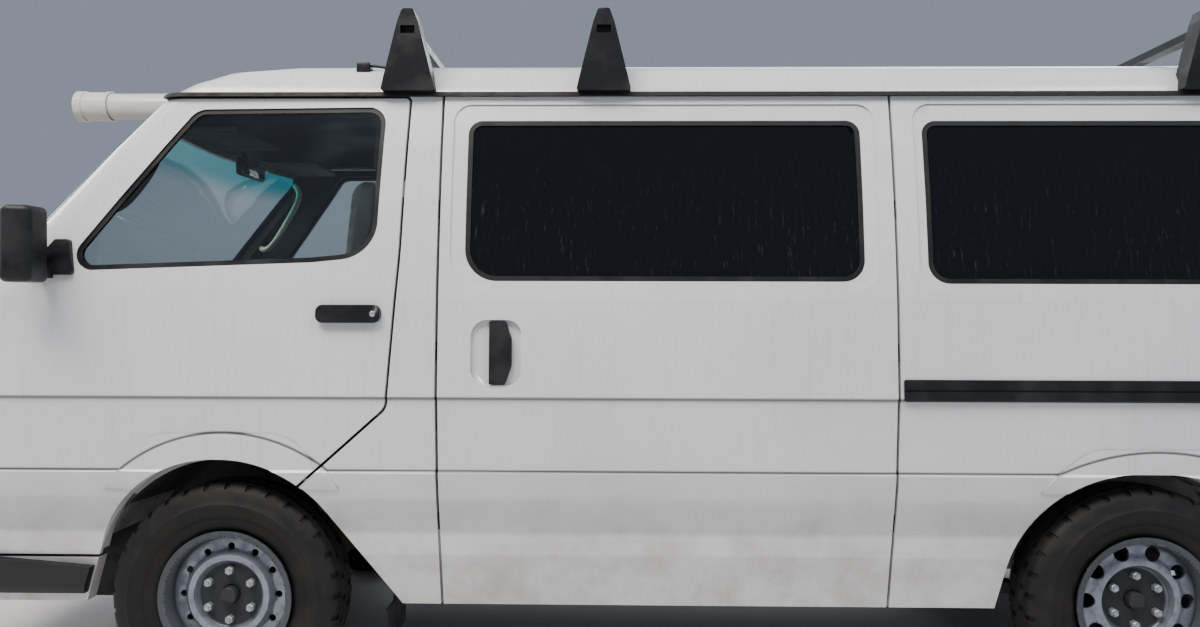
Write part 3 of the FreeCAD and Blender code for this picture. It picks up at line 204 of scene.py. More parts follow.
def white_paint():
    """Sun-aged white enamel with rain streaks, road film low down, and painted shade
    with some dirt in the pressed lines that run along the sides, at the waist and over the wheels."""
    paint = Finish("white_paint")
    cloudy = paint.noise(1.6, 4)
    base = paint.blend(paint.ramp(cloudy, 0.3, 0.7),
                       (0.69, 0.695, 0.7), (0.77, 0.77, 0.76))
    streaks = paint.noise(1, 5, 0.7, paint.stretched((46, 46, 2.2)))
    specks = paint.noise(190, 2)
    low_darkening = paint.ramp(paint.height(), 0.82, 0.3)
    low_darkening = paint.sum("MULTIPLY", low_darkening, paint.ramp(paint.noise(7, 6, 0.65), 0.32, 0.72))
    runs = paint.ramp(streaks, 0.52, 0.82, 0, 0.26)
    dirt = paint.sum("MAXIMUM", paint.sum("MULTIPLY", low_darkening, 0.55), runs)
    dirt = paint.sum("MAXIMUM", dirt, paint.ramp(specks, 0.68, 0.78, 0, 0.3))
    side = paint.ramp(paint.sum("ABSOLUTE", paint.along("Y"), 0), SIDE_FROM, SIDE_BY)
    outside = None
    arcs = None
    for x, z, radius in FLARES:
        reach = paint.reach(x, z)
        arc = paint.near(reach, radius, 0.0065)
        beyond = paint.ramp(reach, radius - 0.001, radius + 0.001)
        arcs = paint.sum("MAXIMUM", arcs, arc) if arcs else arc
        outside = paint.sum("MULTIPLY", outside, beyond) if outside else beyond
    over_crease = paint.ramp(paint.height(), CREASE_UP - 0.008, CREASE_UP)
    arcs = paint.sum("MULTIPLY", arcs, over_crease)
    straight = paint.sum("MULTIPLY", paint.near(paint.height(), CREASE_UP, 0.006), outside)
    waist = paint.sum("MULTIPLY", paint.near(paint.height(), WAIST_UP, 0.0075), 0.85)
    groove = paint.sum("MAXIMUM", paint.sum("MAXIMUM", arcs, straight), waist)
    groove = paint.sum("MULTIPLY", groove, side)
    # Painted shade, with some dirt: the pressed lines along the sides, at the waist and over the
    # wheels are darkened almost to black
    groove_shade_and_dirt = paint.sum("MULTIPLY", groove, 0.94)
    soiled = paint.blend(dirt, base, (0.33, 0.29, 0.245))
    paint.colour(paint.blend(groove_shade_and_dirt, soiled, (0.05, 0.045, 0.04)))
    paint.roughness(paint.ramp(paint.sum("MAXIMUM", dirt, groove_shade_and_dirt), 0, 0.6, 0.3, 0.62))
    paint.set(Coat_Weight=0.5, Coat_Roughness=0.12)
    tuck = paint.ramp(paint.height(), 0.625, 0.47, 0, -0.03)
    sill = paint.ramp(paint.height(), 0.46, 0.385, 0, 0.02)
    swage = paint.sum("MULTIPLY", paint.sum("ADD", tuck, sill), side)
    swage = paint.sum("SUBTRACT", swage, paint.sum("MULTIPLY", groove, 0.0022))
    pressed = paint.bump(swage, 1, 1)
    ripple = paint.bump(paint.noise(2.2, 1), 0.12, 0.012, pressed)
    paint.bump(paint.noise(420, 1), 0.05, 0.0006, ripple)
    return paint


def screen_glass():
    """The windscreen: clear, with a blue-green shade band along its top."""
    glass = Finish("screen_glass")
    band = glass.ramp(glass.height(), 1.585, 1.66)
    dust = glass.ramp(glass.noise(30, 5), 0.5, 0.9, 0, 0.3)
    clear = glass.blend(dust, (0.86, 0.93, 0.92), (0.7, 0.72, 0.7))
    glass.colour(glass.blend(band, clear, (0.05, 0.56, 0.62)))
    glass.roughness(glass.ramp(dust, 0, 0.3, 0.01, 0.06))
    glass.set(Transmission_Weight=1, IOR=1.33, Specular_IOR_Level=0.25)
    return glass


def clear_glass():
    """Faintly green window glass with a dusty lower edge."""
    glass = Finish("clear_glass")
    low_down = glass.ramp(glass.height(), 1.42, 1.24, 0.02, 0.45)
    dust = glass.sum("MULTIPLY", low_down, glass.noise(60, 4))
    glass.colour(glass.blend(dust, (0.86, 0.93, 0.92), (0.62, 0.64, 0.62)))
    glass.roughness(glass.ramp(dust, 0.05, 0.6, 0.01, 0.12))
    glass.set(Transmission_Weight=1, IOR=1.45)
    glass.bump(glass.noise(5, 1), 0.03, 0.002)
    return glass


def tinted_glass():
    """Near-black side glass with dried rain runs."""
    glass = Finish("tinted_glass")
    runs = glass.noise(1, 5, 0.75, glass.stretched((95, 95, 3.4)))
    drops = glass.cells(150)
    marks = glass.sum("MAXIMUM", glass.ramp(runs, 0.56, 0.72, 0, 0.7),
                      glass.ramp(drops, 0.16, 0.05, 0, 0.35))
    marks = glass.sum("MULTIPLY", marks, glass.ramp(glass.height(), 1.66, 1.3, 0.12, 1))
    glass.colour(glass.blend(marks, (0.004, 0.0044, 0.006), (0.032, 0.032, 0.035)))
    glass.roughness(glass.ramp(marks, 0, 0.6, 0.04, 0.42))
    glass.set(Transmission_Weight=0.06, IOR=1.45, Specular_IOR_Level=0.3)
    glass.bump(glass.noise(4, 1), 0.05, 0.002)
    return glass


def black_rubber():
    """Weathered seal rubber with a chalky bloom."""
    rubber = Finish("black_rubber")
    bloom = rubber.ramp(rubber.noise(24, 5), 0.4, 0.75)
    rubber.colour(rubber.blend(bloom, (0.006, 0.006, 0.0065), (0.019, 0.0185, 0.0175)))
    rubber.roughness(rubber.ramp(bloom, 0, 1, 0.5, 0.82))
    rubber.set(Specular_IOR_Level=0.35)
    rubber.bump(rubber.noise(520, 2), 0.25, 0.0006)
    return rubber


def black_plastic():
    """Moulded black plastic with a fine leather grain, greyed by sun."""
    plastic = Finish("black_plastic")
    fade = plastic.ramp(plastic.noise(9, 4), 0.35, 0.75)
    plastic.colour(plastic.blend(fade, (0.008, 0.008, 0.009), (0.021, 0.021, 0.022)))
    plastic.roughness(plastic.ramp(fade, 0, 1, 0.36, 0.58))
    plastic.set(Specular_IOR_Level=0.35)
    plastic.bump(plastic.cells(640), 0.3, 0.0004)
    return plastic


def fluted_lens(name, tint, light, flutes, clear, bands=()):
    """A moulded lamp lens with upright flutes across it. Each band is the
    heights that it lies between, and its colour."""
    lens = Finish(name)
    ribs = lens.waves(flutes, "Y")
    tone = lens.blend(lens.ramp(lens.noise(30, 3), 0.3, 0.8, 0, 0.6), tint, light)
    for low, high, other in bands:
        up = lens.height()
        within = lens.sum("MULTIPLY", lens.ramp(up, low - 0.0008, low + 0.0008),
                          lens.ramp(up, high - 0.0008, high + 0.0008, 1, 0))
        tone = lens.blend(within, tone, other)
    lens.colour(tone)
    lens.roughness(lens.ramp(lens.noise(80, 3), 0.3, 0.8, 0.05, 0.16))
    lens.set(Transmission_Weight=clear, IOR=1.49, Coat_Weight=0.6, Coat_Roughness=0.04)
    lens.bump(ribs, 0.35, 0.002)
    return lens


def lamp_bowl():
    """Silvered bowls at the back of the headlamps, each with its bulb."""
    silver = Finish("lamp_bowl")
    across = silver.sum("SUBTRACT", silver.sum("ABSOLUTE", silver.along("Y"), 0), LAMP_MIDDLE[0])
    up = silver.sum("SUBTRACT", silver.height(), LAMP_MIDDLE[1])
    squares = silver.sum("ADD", silver.sum("POWER", across, 2), silver.sum("POWER", up, 2))
    out = silver.sum("SQRT", squares, 0)
    bulb = silver.ramp(out, 0.014, 0.011)
    rim = silver.near(out, LAMP_RADIUS, 0.004)
    plain = silver.blend(rim, (0.74, 0.76, 0.78), (0.1, 0.105, 0.11))
    silver.colour(silver.blend(bulb, plain, (0.9, 0.82, 0.62)))
    silver.roughness(silver.ramp(silver.noise(40, 3), 0.3, 0.8, 0.12, 0.26))
    silver.set(Metallic=1)
    silver.bump(silver.ramp(out, 0, LAMP_RADIUS, 0, 0.05), 1, 1)
    return silver


def tyre_rubber():
    """Road-worn tyre rubber, dusty in patches."""
    rubber = Finish("tyre_rubber")
    dust = rubber.sum("MULTIPLY", rubber.ramp(rubber.noise(14, 6, 0.7), 0.4, 0.8), 0.8)
    rubber.colour(rubber.blend(dust, (0.0075, 0.0074, 0.0073), (0.032, 0.028, 0.024)))
    rubber.roughness(rubber.ramp(dust, 0, 0.8, 0.6, 0.9))
    rubber.set(Specular_IOR_Level=0.32)
    rubber.bump(rubber.noise(360, 4), 0.35, 0.0008)
    return rubber


def bare_silver():
    """Silver paint over pressed steel, with dust and small rust blooms."""
    steel = Finish("silver_steel")
    dust = steel.ramp(steel.noise(26, 6, 0.68), 0.38, 0.78)
    rust = steel.ramp(steel.noise(60, 5, 0.75), 0.63, 0.72)
    worn = steel.blend(steel.sum("MULTIPLY", dust, 0.6),
                       (0.44, 0.455, 0.48), (0.13, 0.115, 0.1))
    steel.colour(steel.blend(steel.sum("MULTIPLY", rust, 0.7), worn, (0.17, 0.07, 0.03)))
    steel.roughness(steel.ramp(dust, 0, 1, 0.3, 0.62))
    steel.set(Metallic=0.55)
    steel.bump(steel.noise(300, 3), 0.12, 0.0006)
    return steel


def wheel_silver(name, axle):
    """Silver wheel paint, its tone darkened and blued as painted shade, and blackened by brake
    dust and painted shade round the hub and out at the rim's edge, told by the distance from the
    axle."""
    steel = Finish(name)
    reach = steel.reach(axle, AXLE_UP)
    broken = steel.noise(38, 6, 0.7)
    hub = steel.ramp(reach, 0.1, 0.086)
    edge = steel.ramp(reach, 0.15, 0.18)
    # Painted shade with brake dust: the hub and the rim's edge go near black
    grime_and_shade = steel.sum("MAXIMUM", steel.sum("MULTIPLY", hub, 0.9),
                      steel.sum("MULTIPLY", edge, 0.72))
    grime_and_shade = steel.sum("MAXIMUM", grime_and_shade, steel.ramp(broken, 0.42, 0.8, 0, 0.55))
    # The silver here is darker and bluer than bare silver, as painted shade
    painted = steel.blend(grime_and_shade, (0.27, 0.29, 0.34), (0.02, 0.019, 0.018))
    rust = steel.ramp(steel.noise(70, 5, 0.75), 0.64, 0.72)
    steel.colour(steel.blend(steel.sum("MULTIPLY", rust, 0.7), painted, (0.16, 0.065, 0.03)))
    steel.roughness(steel.ramp(grime_and_shade, 0, 1, 0.28, 0.72))
    steel.set(Metallic=0.5)
    steel.bump(steel.noise(300, 3), 0.12, 0.0006)
    return steel


def cab_trim():
    """Dark grey moulded trim and headlining inside the body."""
    trim = Finish("cab_trim")
    worn = trim.ramp(trim.noise(7, 5), 0.35, 0.75)
    trim.colour(trim.blend(worn, (0.032, 0.033, 0.036), (0.07, 0.07, 0.072)))
    trim.roughness(trim.ramp(worn, 0, 1, 0.6, 0.85))
    trim.bump(trim.cells(330), 0.35, 0.0007)
    return trim


def pale_trim():
    """Grey-green plastic of the grab handles, rubbed shiny in places."""
    trim = Finish("pale_trim")
    rubbed = trim.ramp(trim.noise(20, 4), 0.35, 0.7)
    trim.colour(trim.blend(rubbed, (0.5, 0.53, 0.44), (0.62, 0.64, 0.54)))
    trim.roughness(trim.ramp(rubbed, 0, 1, 0.5, 0.3))
    trim.bump(trim.noise(420, 2), 0.15, 0.0005)
    return trim


def mirror_silver():
    """Silvered mirror glass with a few water marks."""
    silver = Finish("mirror_silver")
    marks = silver.ramp(silver.noise(45, 5), 0.5, 0.8)
    silver.colour(silver.blend(marks, (0.82, 0.84, 0.86), (0.6, 0.61, 0.6)))
    silver.roughness(silver.ramp(marks, 0, 1, 0.03, 0.2))
    silver.set(Metallic=1)
    return silver


def chassis_black():
    """Underbody black with road dust and rust blooms."""
    black = Finish("chassis_black")
    dust = black.ramp(black.noise(12, 6, 0.7), 0.35, 0.75)
    rust = black.ramp(black.noise(34, 5, 0.72), 0.58, 0.68)
    dusty = black.blend(dust, (0.018, 0.018, 0.018), (0.09, 0.076, 0.06))
    black.colour(black.blend(black.sum("MULTIPLY", rust, 0.75), dusty, (0.12, 0.045, 0.02)))
    black.roughness(black.ramp(dust, 0, 1, 0.5, 0.9))
    black.bump(black.noise(140, 4), 0.4, 0.0012)
    return black


def cast_iron():
    """Rough grey-brown castings."""
    iron = Finish("cast_iron")
    rust = iron.ramp(iron.noise(40, 6, 0.75), 0.38, 0.7)
    iron.colour(iron.blend(rust, (0.085, 0.083, 0.08), (0.13, 0.06, 0.032)))
    iron.roughness(iron.ramp(rust, 0, 1, 0.55, 0.92))
    iron.set(Metallic=0.45)
    iron.bump(iron.noise(260, 4), 0.5, 0.0012)
    return iron


def seat_cloth():
    """Grey woven seat cloth with flecks of lighter yarn."""
    cloth = Finish("seat_cloth")
    warp = cloth.waves(150, "Y", distortion=0.6)
    weft = cloth.waves(150, "Z", distortion=0.6)
    weave = cloth.sum("ADD", warp, weft)
    flecks = cloth.ramp(cloth.cells(330), 0.1, 0.34)
    wear = cloth.ramp(cloth.noise(8, 4), 0.35, 0.7)
    yarn = cloth.blend(flecks, (0.1, 0.105, 0.118), (0.052, 0.055, 0.064))
    cloth.colour(cloth.blend(cloth.sum("MULTIPLY", wear, 0.5), yarn, (0.15, 0.148, 0.145)))
    cloth.roughness(cloth.ramp(wear, 0, 1, 0.82, 0.95))
    cloth.set(Sheen_Weight=0.35, Sheen_Roughness=0.5)
    cloth.bump(weave, 0.35, 0.0009)
    return cloth


def floor_paint():
    """Painted pressed floor, scuffed and dusty."""
    paint = Finish("floor_paint")
    dust = paint.ramp(paint.noise(5, 7, 0.7), 0.35, 0.7)
    scuffs = paint.ramp(paint.noise(1, 5, 0.8, paint.stretched((4, 60, 60))), 0.6, 0.68)
    painted = paint.blend(dust, (0.3, 0.305, 0.31), (0.19, 0.175, 0.155))
    paint.colour(paint.blend(paint.sum("MULTIPLY", scuffs, 0.6), painted, (0.075, 0.072, 0.07)))
    paint.roughness(paint.ramp(dust, 0, 1, 0.42, 0.85))
    paint.bump(paint.noise(90, 4), 0.2, 0.001)
    return paint


def pvc():
    """Off-white plastic pipe with stains along it, darker towards its underside."""
    pipe = Finish("pvc")
    stain = pipe.ramp(pipe.noise(1, 6, 0.7, pipe.stretched((4, 30, 30))), 0.42, 0.78)
    # Darker towards the underside, by height alone
    low_darkening = pipe.ramp(pipe.height(), 1.99, 1.945, 0, 0.55)
    dirt = pipe.sum("MAXIMUM", pipe.sum("MULTIPLY", stain, 0.5), low_darkening)
    pipe.colour(pipe.blend(dirt, (0.7, 0.68, 0.63), (0.34, 0.29, 0.23)))
    pipe.roughness(pipe.ramp(dirt, 0, 0.6, 0.28, 0.6))
    pipe.set(Subsurface_Weight=0.06, Coat_Weight=0.15)
    pipe.bump(pipe.noise(40, 3), 0.1, 0.0008)
    return pipe


SEAM_DARK = (0.03, 0.02, 0.02)
TAIL_LAMP_BANDS = (
    (1.035, 1.2, (0.8, 0.26, 0.02)),
    (0.865, 0.925, (0.72, 0.72, 0.7)),
    (1.031, 1.035, SEAM_DARK),
    (0.861, 0.865, SEAM_DARK),
    (0.925, 0.929, SEAM_DARK),
)

FINISHES = {
    "white_paint": white_paint(),
    "clear_glass": clear_glass(),
    "screen_glass": screen_glass(),
    "tinted_glass": tinted_glass(),
    "black_rubber": black_rubber(),
    "black_plastic": black_plastic(),
    "lamp_clear": fluted_lens("lamp_clear", (0.9, 0.92, 0.92), (0.8, 0.82, 0.8), 60, 0.92),
    "lamp_amber": fluted_lens("lamp_amber", (0.85, 0.27, 0.015), (0.72, 0.2, 0.01), 70, 0.35),
    "lamp_red": fluted_lens("lamp_red", (0.55, 0.012, 0.012), (0.4, 0.01, 0.01), 55, 0.3,
                            TAIL_LAMP_BANDS),
    "tyre_rubber": tyre_rubber(),
    "silver_steel": bare_silver(),
    "wheel_front": wheel_silver("wheel_front", FRONT_AXLE),
    "wheel_rear": wheel_silver("wheel_rear", REAR_AXLE),
    "cab_trim": cab_trim(),
    "pale_trim": pale_trim(),
    "lamp_bowl": lamp_bowl(),
    "mirror_silver": mirror_silver(),
    "chassis_black": chassis_black(),
    "cast_iron": cast_iron(),
    "seat_cloth": seat_cloth(),
    "floor_paint": floor_paint(),
    "pvc": pvc(),
}


# Pieces

def rest_as(piece, name, slot, body, *nodes, finish=None):
    """Names a finished piece, gives it its finish and puts it on a body."""
    piece.name = name
    piece.data.name = name
    piece.data.materials.clear()
    piece.data.materials.append(FINISHES[finish or slot].material)
    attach(piece, body)
    if nodes:
        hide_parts(*nodes)
    return piece


def alone(piece):
    """Makes a piece the only one selected, and active."""
    bpy.ops.object.select_all(action="DESELECT")
    piece.select_set(True)
    bpy.context.view_layer.objects.active = piece


def smooth(piece, angle):
    """Shades smoothly across edges that turn by less than an angle."""
    alone(piece)
    bpy.ops.object.shade_smooth_by_angle(angle=math.radians(angle))


def settle(piece):
    """Puts a piece's place into its mesh."""
    alone(piece)
    bpy.ops.object.transform_apply(location=True, rotation=True, scale=True)


def finish_modifiers(piece):
    alone(piece)
    for modifier in list(piece.modifiers):
        bpy.ops.object.modifier_apply(modifier=modifier.name)


def united(pieces):
    """Joins pieces of one finish into one mesh."""
    bpy.ops.object.select_all(action="DESELECT")
    for piece in pieces:
        piece.select_set(True)
    bpy.context.view_layer.objects.active = pieces[0]
    bpy.ops.object.join()
    return pieces[0]


def second_finish(piece, finish, chosen):
    """Gives the faces of a piece that pass a test another finish."""
    piece.data.materials.append(FINISHES[finish].material)
    for face in piece.data.polygons:
        if chosen(face):
            face.material_index = 1


# Long, nearly flat panels, which need a narrower angle to shade evenly
FLAT_SIDES = [f"{panel}_{name}" for panel in ("sliding_door", "side_panel", "front_door")
              for name, side in SIDES]
FLAT_ANGLE, PART_ANGLE = 11, 24
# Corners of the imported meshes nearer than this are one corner
SAME_CORNER = 0.00002


def dressed_copy(node):
    """A smooth-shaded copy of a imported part, with its finish."""
    mesh = frame["nodes"][node].data.copy()
    piece = bpy.data.objects.new(f"{node}_dressed", mesh)
    bpy.context.scene.collection.objects.link(piece)
    alone(piece)
    bpy.ops.object.mode_set(mode="EDIT")
    bpy.ops.mesh.select_all(action="SELECT")
    bpy.ops.mesh.remove_doubles(threshold=SAME_CORNER)
    bpy.ops.object.mode_set(mode="OBJECT")
    if node in FLAT_SIDES:
        smooth(piece, FLAT_ANGLE)
        ease_flares(piece)
    else:
        smooth(piece, PART_ANGLE)
    even = piece.modifiers.new("even shading", "WEIGHTED_NORMAL")
    even.keep_sharp = True
    even.weight = 100
    finish_modifiers(piece)
    finish = "screen_glass" if node == "windscreen" else None
    if node.startswith("rim_"):
        finish = "wheel_front" if "front" in node else "wheel_rear"
    rest_as(piece, f"{node}_dressed", slot_of[node], body_of[node], node, finish=finish)
    if slot_of[node] == "white_paint":
        second_finish(piece, "cab_trim", looks_inward)
    if node == "headlamps":
        second_finish(piece, "lamp_bowl", looks_back)
    if node == "floor_pan":
        second_finish(piece, "cab_trim", in_cab)


# The step at a flare's edge is no deeper than this, and between these heights
STEP_MOST = 0.0065
FLARE_LOW, FLARE_HIGH = 0.55, 0.8


def ease_flares(piece):
    """Shades across the low step at the edge of each flare, which shows as
    the line in the paint alone."""
    mesh = piece.data
    edges = set()
    for face in mesh.polygons:
        deep = [mesh.vertices[index].co.y for index in face.vertices]
        low_step = max(deep) - min(deep) < STEP_MOST and abs(face.normal.y) < 0.6
        by_wheel = FLARE_LOW < face.center.z < FLARE_HIGH
        if low_step and by_wheel and abs(face.center.y) > SIDE_FROM:
            edges.update(face.edge_keys)
    for edge in mesh.edges:
        if edge.key in edges:
            edge.use_edge_sharp = False


def in_cab(face):
    """True for the floor's faces ahead of the load bay, where the mat lies."""
    return face.center.x < -0.79 and face.center.z > 0.57 and abs(face.center.y) < 0.76


def looks_back(face):
    """True for a headlamp's back faces, which are its silvered bowl."""
    return face.normal.x > 0.3


def looks_inward(face):
    """True for a panel's face that looks at the nearest place in the middle
    of the van, and so has the trim."""
    at = face.center
    heart = Vector((min(max(at.x, -1.1), 1.7), 0, min(max(at.z, 0.9), 1.3)))
    return face.normal.dot((at - heart).normalized()) < -0.35


# These parts have a shape of their own below, not a dressed copy
OWN_SHAPE = ("front_seats", "tyre_front_left", "tyre_front_right",
             "tyre_rear_left", "tyre_rear_right")
for node in sorted(slot_of):
    if node not in OWN_SHAPE:
        dressed_copy(node)


# Half section of a tyre as (radius, height from its middle plane) corners in
# millimetres, from the inner bead over the tread to the outer bead
TYRE_HALF = (
    (190, 60), (196, 66), (206, 71), (216, 74), (224, 79), (228, 79), (232, 83),
    (250, 90), (262, 92.4), (264, 93.6), (270, 93.6), (272, 92.2), (284, 90),
    (296, 86), (303, 83.5), (309, 80), (317, 73), (322, 64), (323.6, 50),
    (316, 48), (316, 41), (324.6, 39), (325, 14), (317, 12), (317, 5), (325, 3),
)
SPIN_STEPS = 132
TREAD_CUT = 0.006


def tyre(name, axle, side):
    """A treaded tyre: its section spun about the axle, then shoulder lugs."""
    hub = Vector((axle, side * TRACK_HALF, AXLE_UP))
    rows = list(TYRE_HALF) + [(radius, -height) for radius, height in reversed(TYRE_HALF)]
    bpy.ops.mesh.primitive_circle_add(vertices=len(rows), radius=0.1)
    piece = bpy.context.object
    for corner, (radius, height) in zip(piece.data.vertices, rows):
        corner.co = hub + Vector((0, height / 1000, radius / 1000))
    bpy.ops.object.mode_set(mode="EDIT")
    bpy.ops.mesh.select_all(action="SELECT")
    bpy.ops.mesh.spin(steps=SPIN_STEPS, angle=math.tau, center=hub, axis=(0, 1, 0))
    bpy.ops.mesh.remove_doubles(threshold=0.00005)
    bpy.ops.mesh.normals_make_consistent(inside=False)
    bpy.ops.mesh.select_all(action="DESELECT")
    bpy.ops.object.mode_set(mode="OBJECT")
    step = math.tau / SPIN_STEPS
    for face in piece.data.polygons:
        out = face.center - hub
        radius = math.hypot(out.x, out.z)
        count = int(round(math.atan2(out.z, out.x) / step - 0.5)) % SPIN_STEPS
        shoulder = 0.306 < radius and abs(out.y) > 0.05
        rib = 0.32 < radius and 0.014 < abs(out.y) < 0.039
        beat = count % 4 == 0 if shoulder else count % 4 == (1 if out.y > 0 else 3)
        face.select = (shoulder or rib) and beat
    bpy.ops.object.mode_set(mode="EDIT")
    bpy.ops.mesh.select_mode(type="FACE")
    bpy.ops.mesh.extrude_region_shrink_fatten(TRANSFORM_OT_shrink_fatten={"value": -TREAD_CUT})
    bpy.ops.object.mode_set(mode="OBJECT")
    settle(piece)
    smooth(piece, 32)
    return rest_as(piece, f"tyre_{name}_treaded", "tyre_rubber", f"wheel_{name}",
                   f"tyre_{name}")


WHEELS = (
    # name, axle, side, how far the nuts' seat stands out from the middle
    ("front_left", FRONT_AXLE, LEFT, 0.028),
    ("front_right", FRONT_AXLE, RIGHT, 0.028),
    ("rear_left", REAR_AXLE, LEFT, 0.008),
    ("rear_right", REAR_AXLE, RIGHT, 0.008),
)
NUT_CIRCLE = 0.06985
NUT_LONG = 0.018


def wheel_nuts(name, axle, side, out):
    """Six domed hexagon nuts on their studs."""
    nuts = []
    for turn in range(6):
        angle = math.radians(60 * turn + 30)
        at = (axle + NUT_CIRCLE * math.cos(angle), side * (TRACK_HALF + out + NUT_LONG / 2),
              AXLE_UP + NUT_CIRCLE * math.sin(angle))
        bpy.ops.mesh.primitive_cylinder_add(vertices=6, radius=0.0125, depth=NUT_LONG,
                                            location=at, rotation=(-side * math.pi / 2, 0, 0))
        nut = bpy.context.object
        bpy.ops.object.mode_set(mode="EDIT")
        bpy.ops.mesh.select_all(action="DESELECT")
        bpy.ops.object.mode_set(mode="OBJECT")
        for face in nut.data.polygons:
            face.select = face.normal.z > 0.9
        bpy.ops.object.mode_set(mode="EDIT")
        bpy.ops.mesh.select_mode(type="FACE")
        bpy.ops.mesh.inset(thickness=0.0022)
        bpy.ops.transform.translate(value=(0, side * 0.003, 0))
        bpy.ops.mesh.inset(thickness=0.002)
        bpy.ops.mesh.extrude_region_move(TRANSFORM_OT_translate={"value": (0, side * 0.006, 0)})
        bpy.ops.object.mode_set(mode="OBJECT")
        settle(nut)
        nuts.append(nut)
    piece = united(nuts)
    bevel = piece.modifiers.new("worn corners", "BEVEL")
    bevel.width = 0.0008
    bevel.segments = 2
    finish_modifiers(piece)
    smooth(piece, 40)
    return rest_as(piece, f"wheel_nuts_{name}", "silver_steel", f"wheel_{name}")


for name, axle, side, out in WHEELS:
    tyre(name, axle, side)
    wheel_nuts(name, axle, side, out)


SEAT_ACROSS = (("driver", 0.38), ("passenger", -0.38))
# Each seat's padded pieces: middle (along, up), size (along, across, up),
# lean in degrees, how far its cover may swell, rounding of its corners
SEAT_PADS = {
    "cushion": ((-1.142, 0.952), (0.475, 0.455, 0.118), -2, 0.016, 0.035),
    "back": ((-0.886, 1.245), (0.088, 0.44, 0.6), 7.1, 0.016, 0.032),
    "headrest": ((-0.828, 1.638), (0.072, 0.225, 0.145), 6, 0.013, 0.026),
}


PAD_MESH = 0.0075
STUFFING_FRAMES = 20
SEAM_WIDE, SEAM_DEEP = 0.006, 0.008
# A place that no seam is near, for the faces that a seam doesn't cross
NO_SEAM = 9


def stuffed(piece, swell):
    """Swells a closed shape as foam does under its sewn cover."""
    alone(piece)
    piece.data.remesh_voxel_size = PAD_MESH
    bpy.ops.object.voxel_remesh()
    start = [corner.co.copy() for corner in piece.data.vertices]
    cloth = piece.modifiers.new("stuffing", "CLOTH")
    cloth.settings.quality = 4
    cloth.settings.tension_stiffness = 22
    cloth.settings.compression_stiffness = 22
    cloth.settings.use_pressure = True
    cloth.settings.uniform_pressure_force = 4
    cloth.settings.effector_weights.gravity = 0
    for step in range(1, STUFFING_FRAMES + 1):
        bpy.context.scene.frame_set(step)
    finish_modifiers(piece)
    bpy.context.scene.frame_set(1)
    for corner, before in zip(piece.data.vertices, start):
        move = corner.co - before
        if move.length > swell:
            corner.co = before + move * (swell / move.length)


def sewn_lines(piece, middle, lines):
    """Presses sewn channels in. Each line is a measure of a point's place
    that is zero on the seam."""
    normals = [corner.normal.copy() for corner in piece.data.vertices]
    for corner, normal in zip(piece.data.vertices, normals):
        place = corner.co - middle
        press = sum(math.exp(-(line(place, normal) / SEAM_WIDE) ** 2) for line in lines)
        corner.co -= normal * SEAM_DEEP * min(press, 1)


def on(faces, measure):
    """A seam on some of the faces only."""
    return lambda place, normal: measure(place) if faces(place, normal) else NO_SEAM


def on_top(place, normal):
    return normal.z > 0.3


def on_front(place, normal):
    return normal.x < -0.3


# The seams of each padded piece: piping round the edge, and channels along
# and across the face that the sitter leans on
SEAMS = {
    "cushion": (
        on(on_top, lambda place: abs(place.y) - 0.145),
        on(lambda place, normal: on_top(place, normal) and abs(place.y) < 0.145,
           lambda place: place.x + 0.155),
        on(lambda place, normal: on_top(place, normal) and abs(place.y) < 0.145,
           lambda place: place.x - 0.02),
        on(lambda place, normal: normal.z < 0.5, lambda place: place.z + 0.03),
    ),
    "back": (
        on(on_front, lambda place: abs(place.y) - 0.14),
        on(lambda place, normal: on_front(place, normal) and abs(place.y) < 0.14,
           lambda place: place.z - 0.19),
        on(lambda place, normal: on_front(place, normal) and abs(place.y) < 0.14,
           lambda place: place.z + 0.01),
        on(lambda place, normal: abs(normal.x) < 0.7,
           lambda place: place.x - 0.03 - 0.125 * place.z),
    ),
    "headrest": (
        on(lambda place, normal: abs(normal.x) < 0.8, lambda place: place.x - 0.1 * place.z),
    ),
}


def seat_pad(kind, across):
    (along, up), size, lean, swell, corner = SEAT_PADS[kind]
    middle = Vector((along, across, up))
    bpy.ops.mesh.primitive_cube_add(size=1, location=middle, rotation=(0, math.radians(lean), 0))
    pad = bpy.context.object
    pad.scale = size
    settle(pad)
    bpy.ops.object.mode_set(mode="EDIT")
    bpy.ops.mesh.select_all(action="SELECT")
    bpy.ops.mesh.bevel(offset=corner, segments=4)
    bpy.ops.object.mode_set(mode="OBJECT")
    stuffed(pad, swell)
    sewn_lines(pad, middle, SEAMS[kind])
    soften = pad.modifiers.new("cover", "SUBSURF")
    soften.levels = 1
    soften.render_levels = 1
    finish_modifiers(pad)
    smooth(pad, 60)
    return pad


def seats():
    """Both front seats: padded pieces made once and copied across."""
    for kind in SEAT_PADS:
        first = seat_pad(kind, SEAT_ACROSS[0][1])
        second = bpy.data.objects.new("pad", first.data.copy())
        bpy.context.scene.collection.objects.link(second)
        shift = SEAT_ACROSS[1][1] - SEAT_ACROSS[0][1]
        second.data.transform(Matrix.Translation((0, shift, 0)))
        for (name, across), pad in zip(SEAT_ACROSS, (first, second)):
            rest_as(pad, f"{name}_{kind}", "seat_cloth", "body", "front_seats")


seats()


# Small fittings

def rounded_slab(low, high, corner, segments=3):
    """A box between two corners with its edges rounded."""
    low, high = Vector(low), Vector(high)
    bpy.ops.mesh.primitive_cube_add(size=1, location=(low + high) / 2)
    slab = bpy.context.object
    slab.scale = high - low
    settle(slab)
    bpy.ops.object.mode_set(mode="EDIT")
    bpy.ops.mesh.select_all(action="SELECT")
    bpy.ops.mesh.bevel(offset=corner, segments=segments)
    bpy.ops.object.mode_set(mode="OBJECT")
    smooth(slab, 50)
    return slab


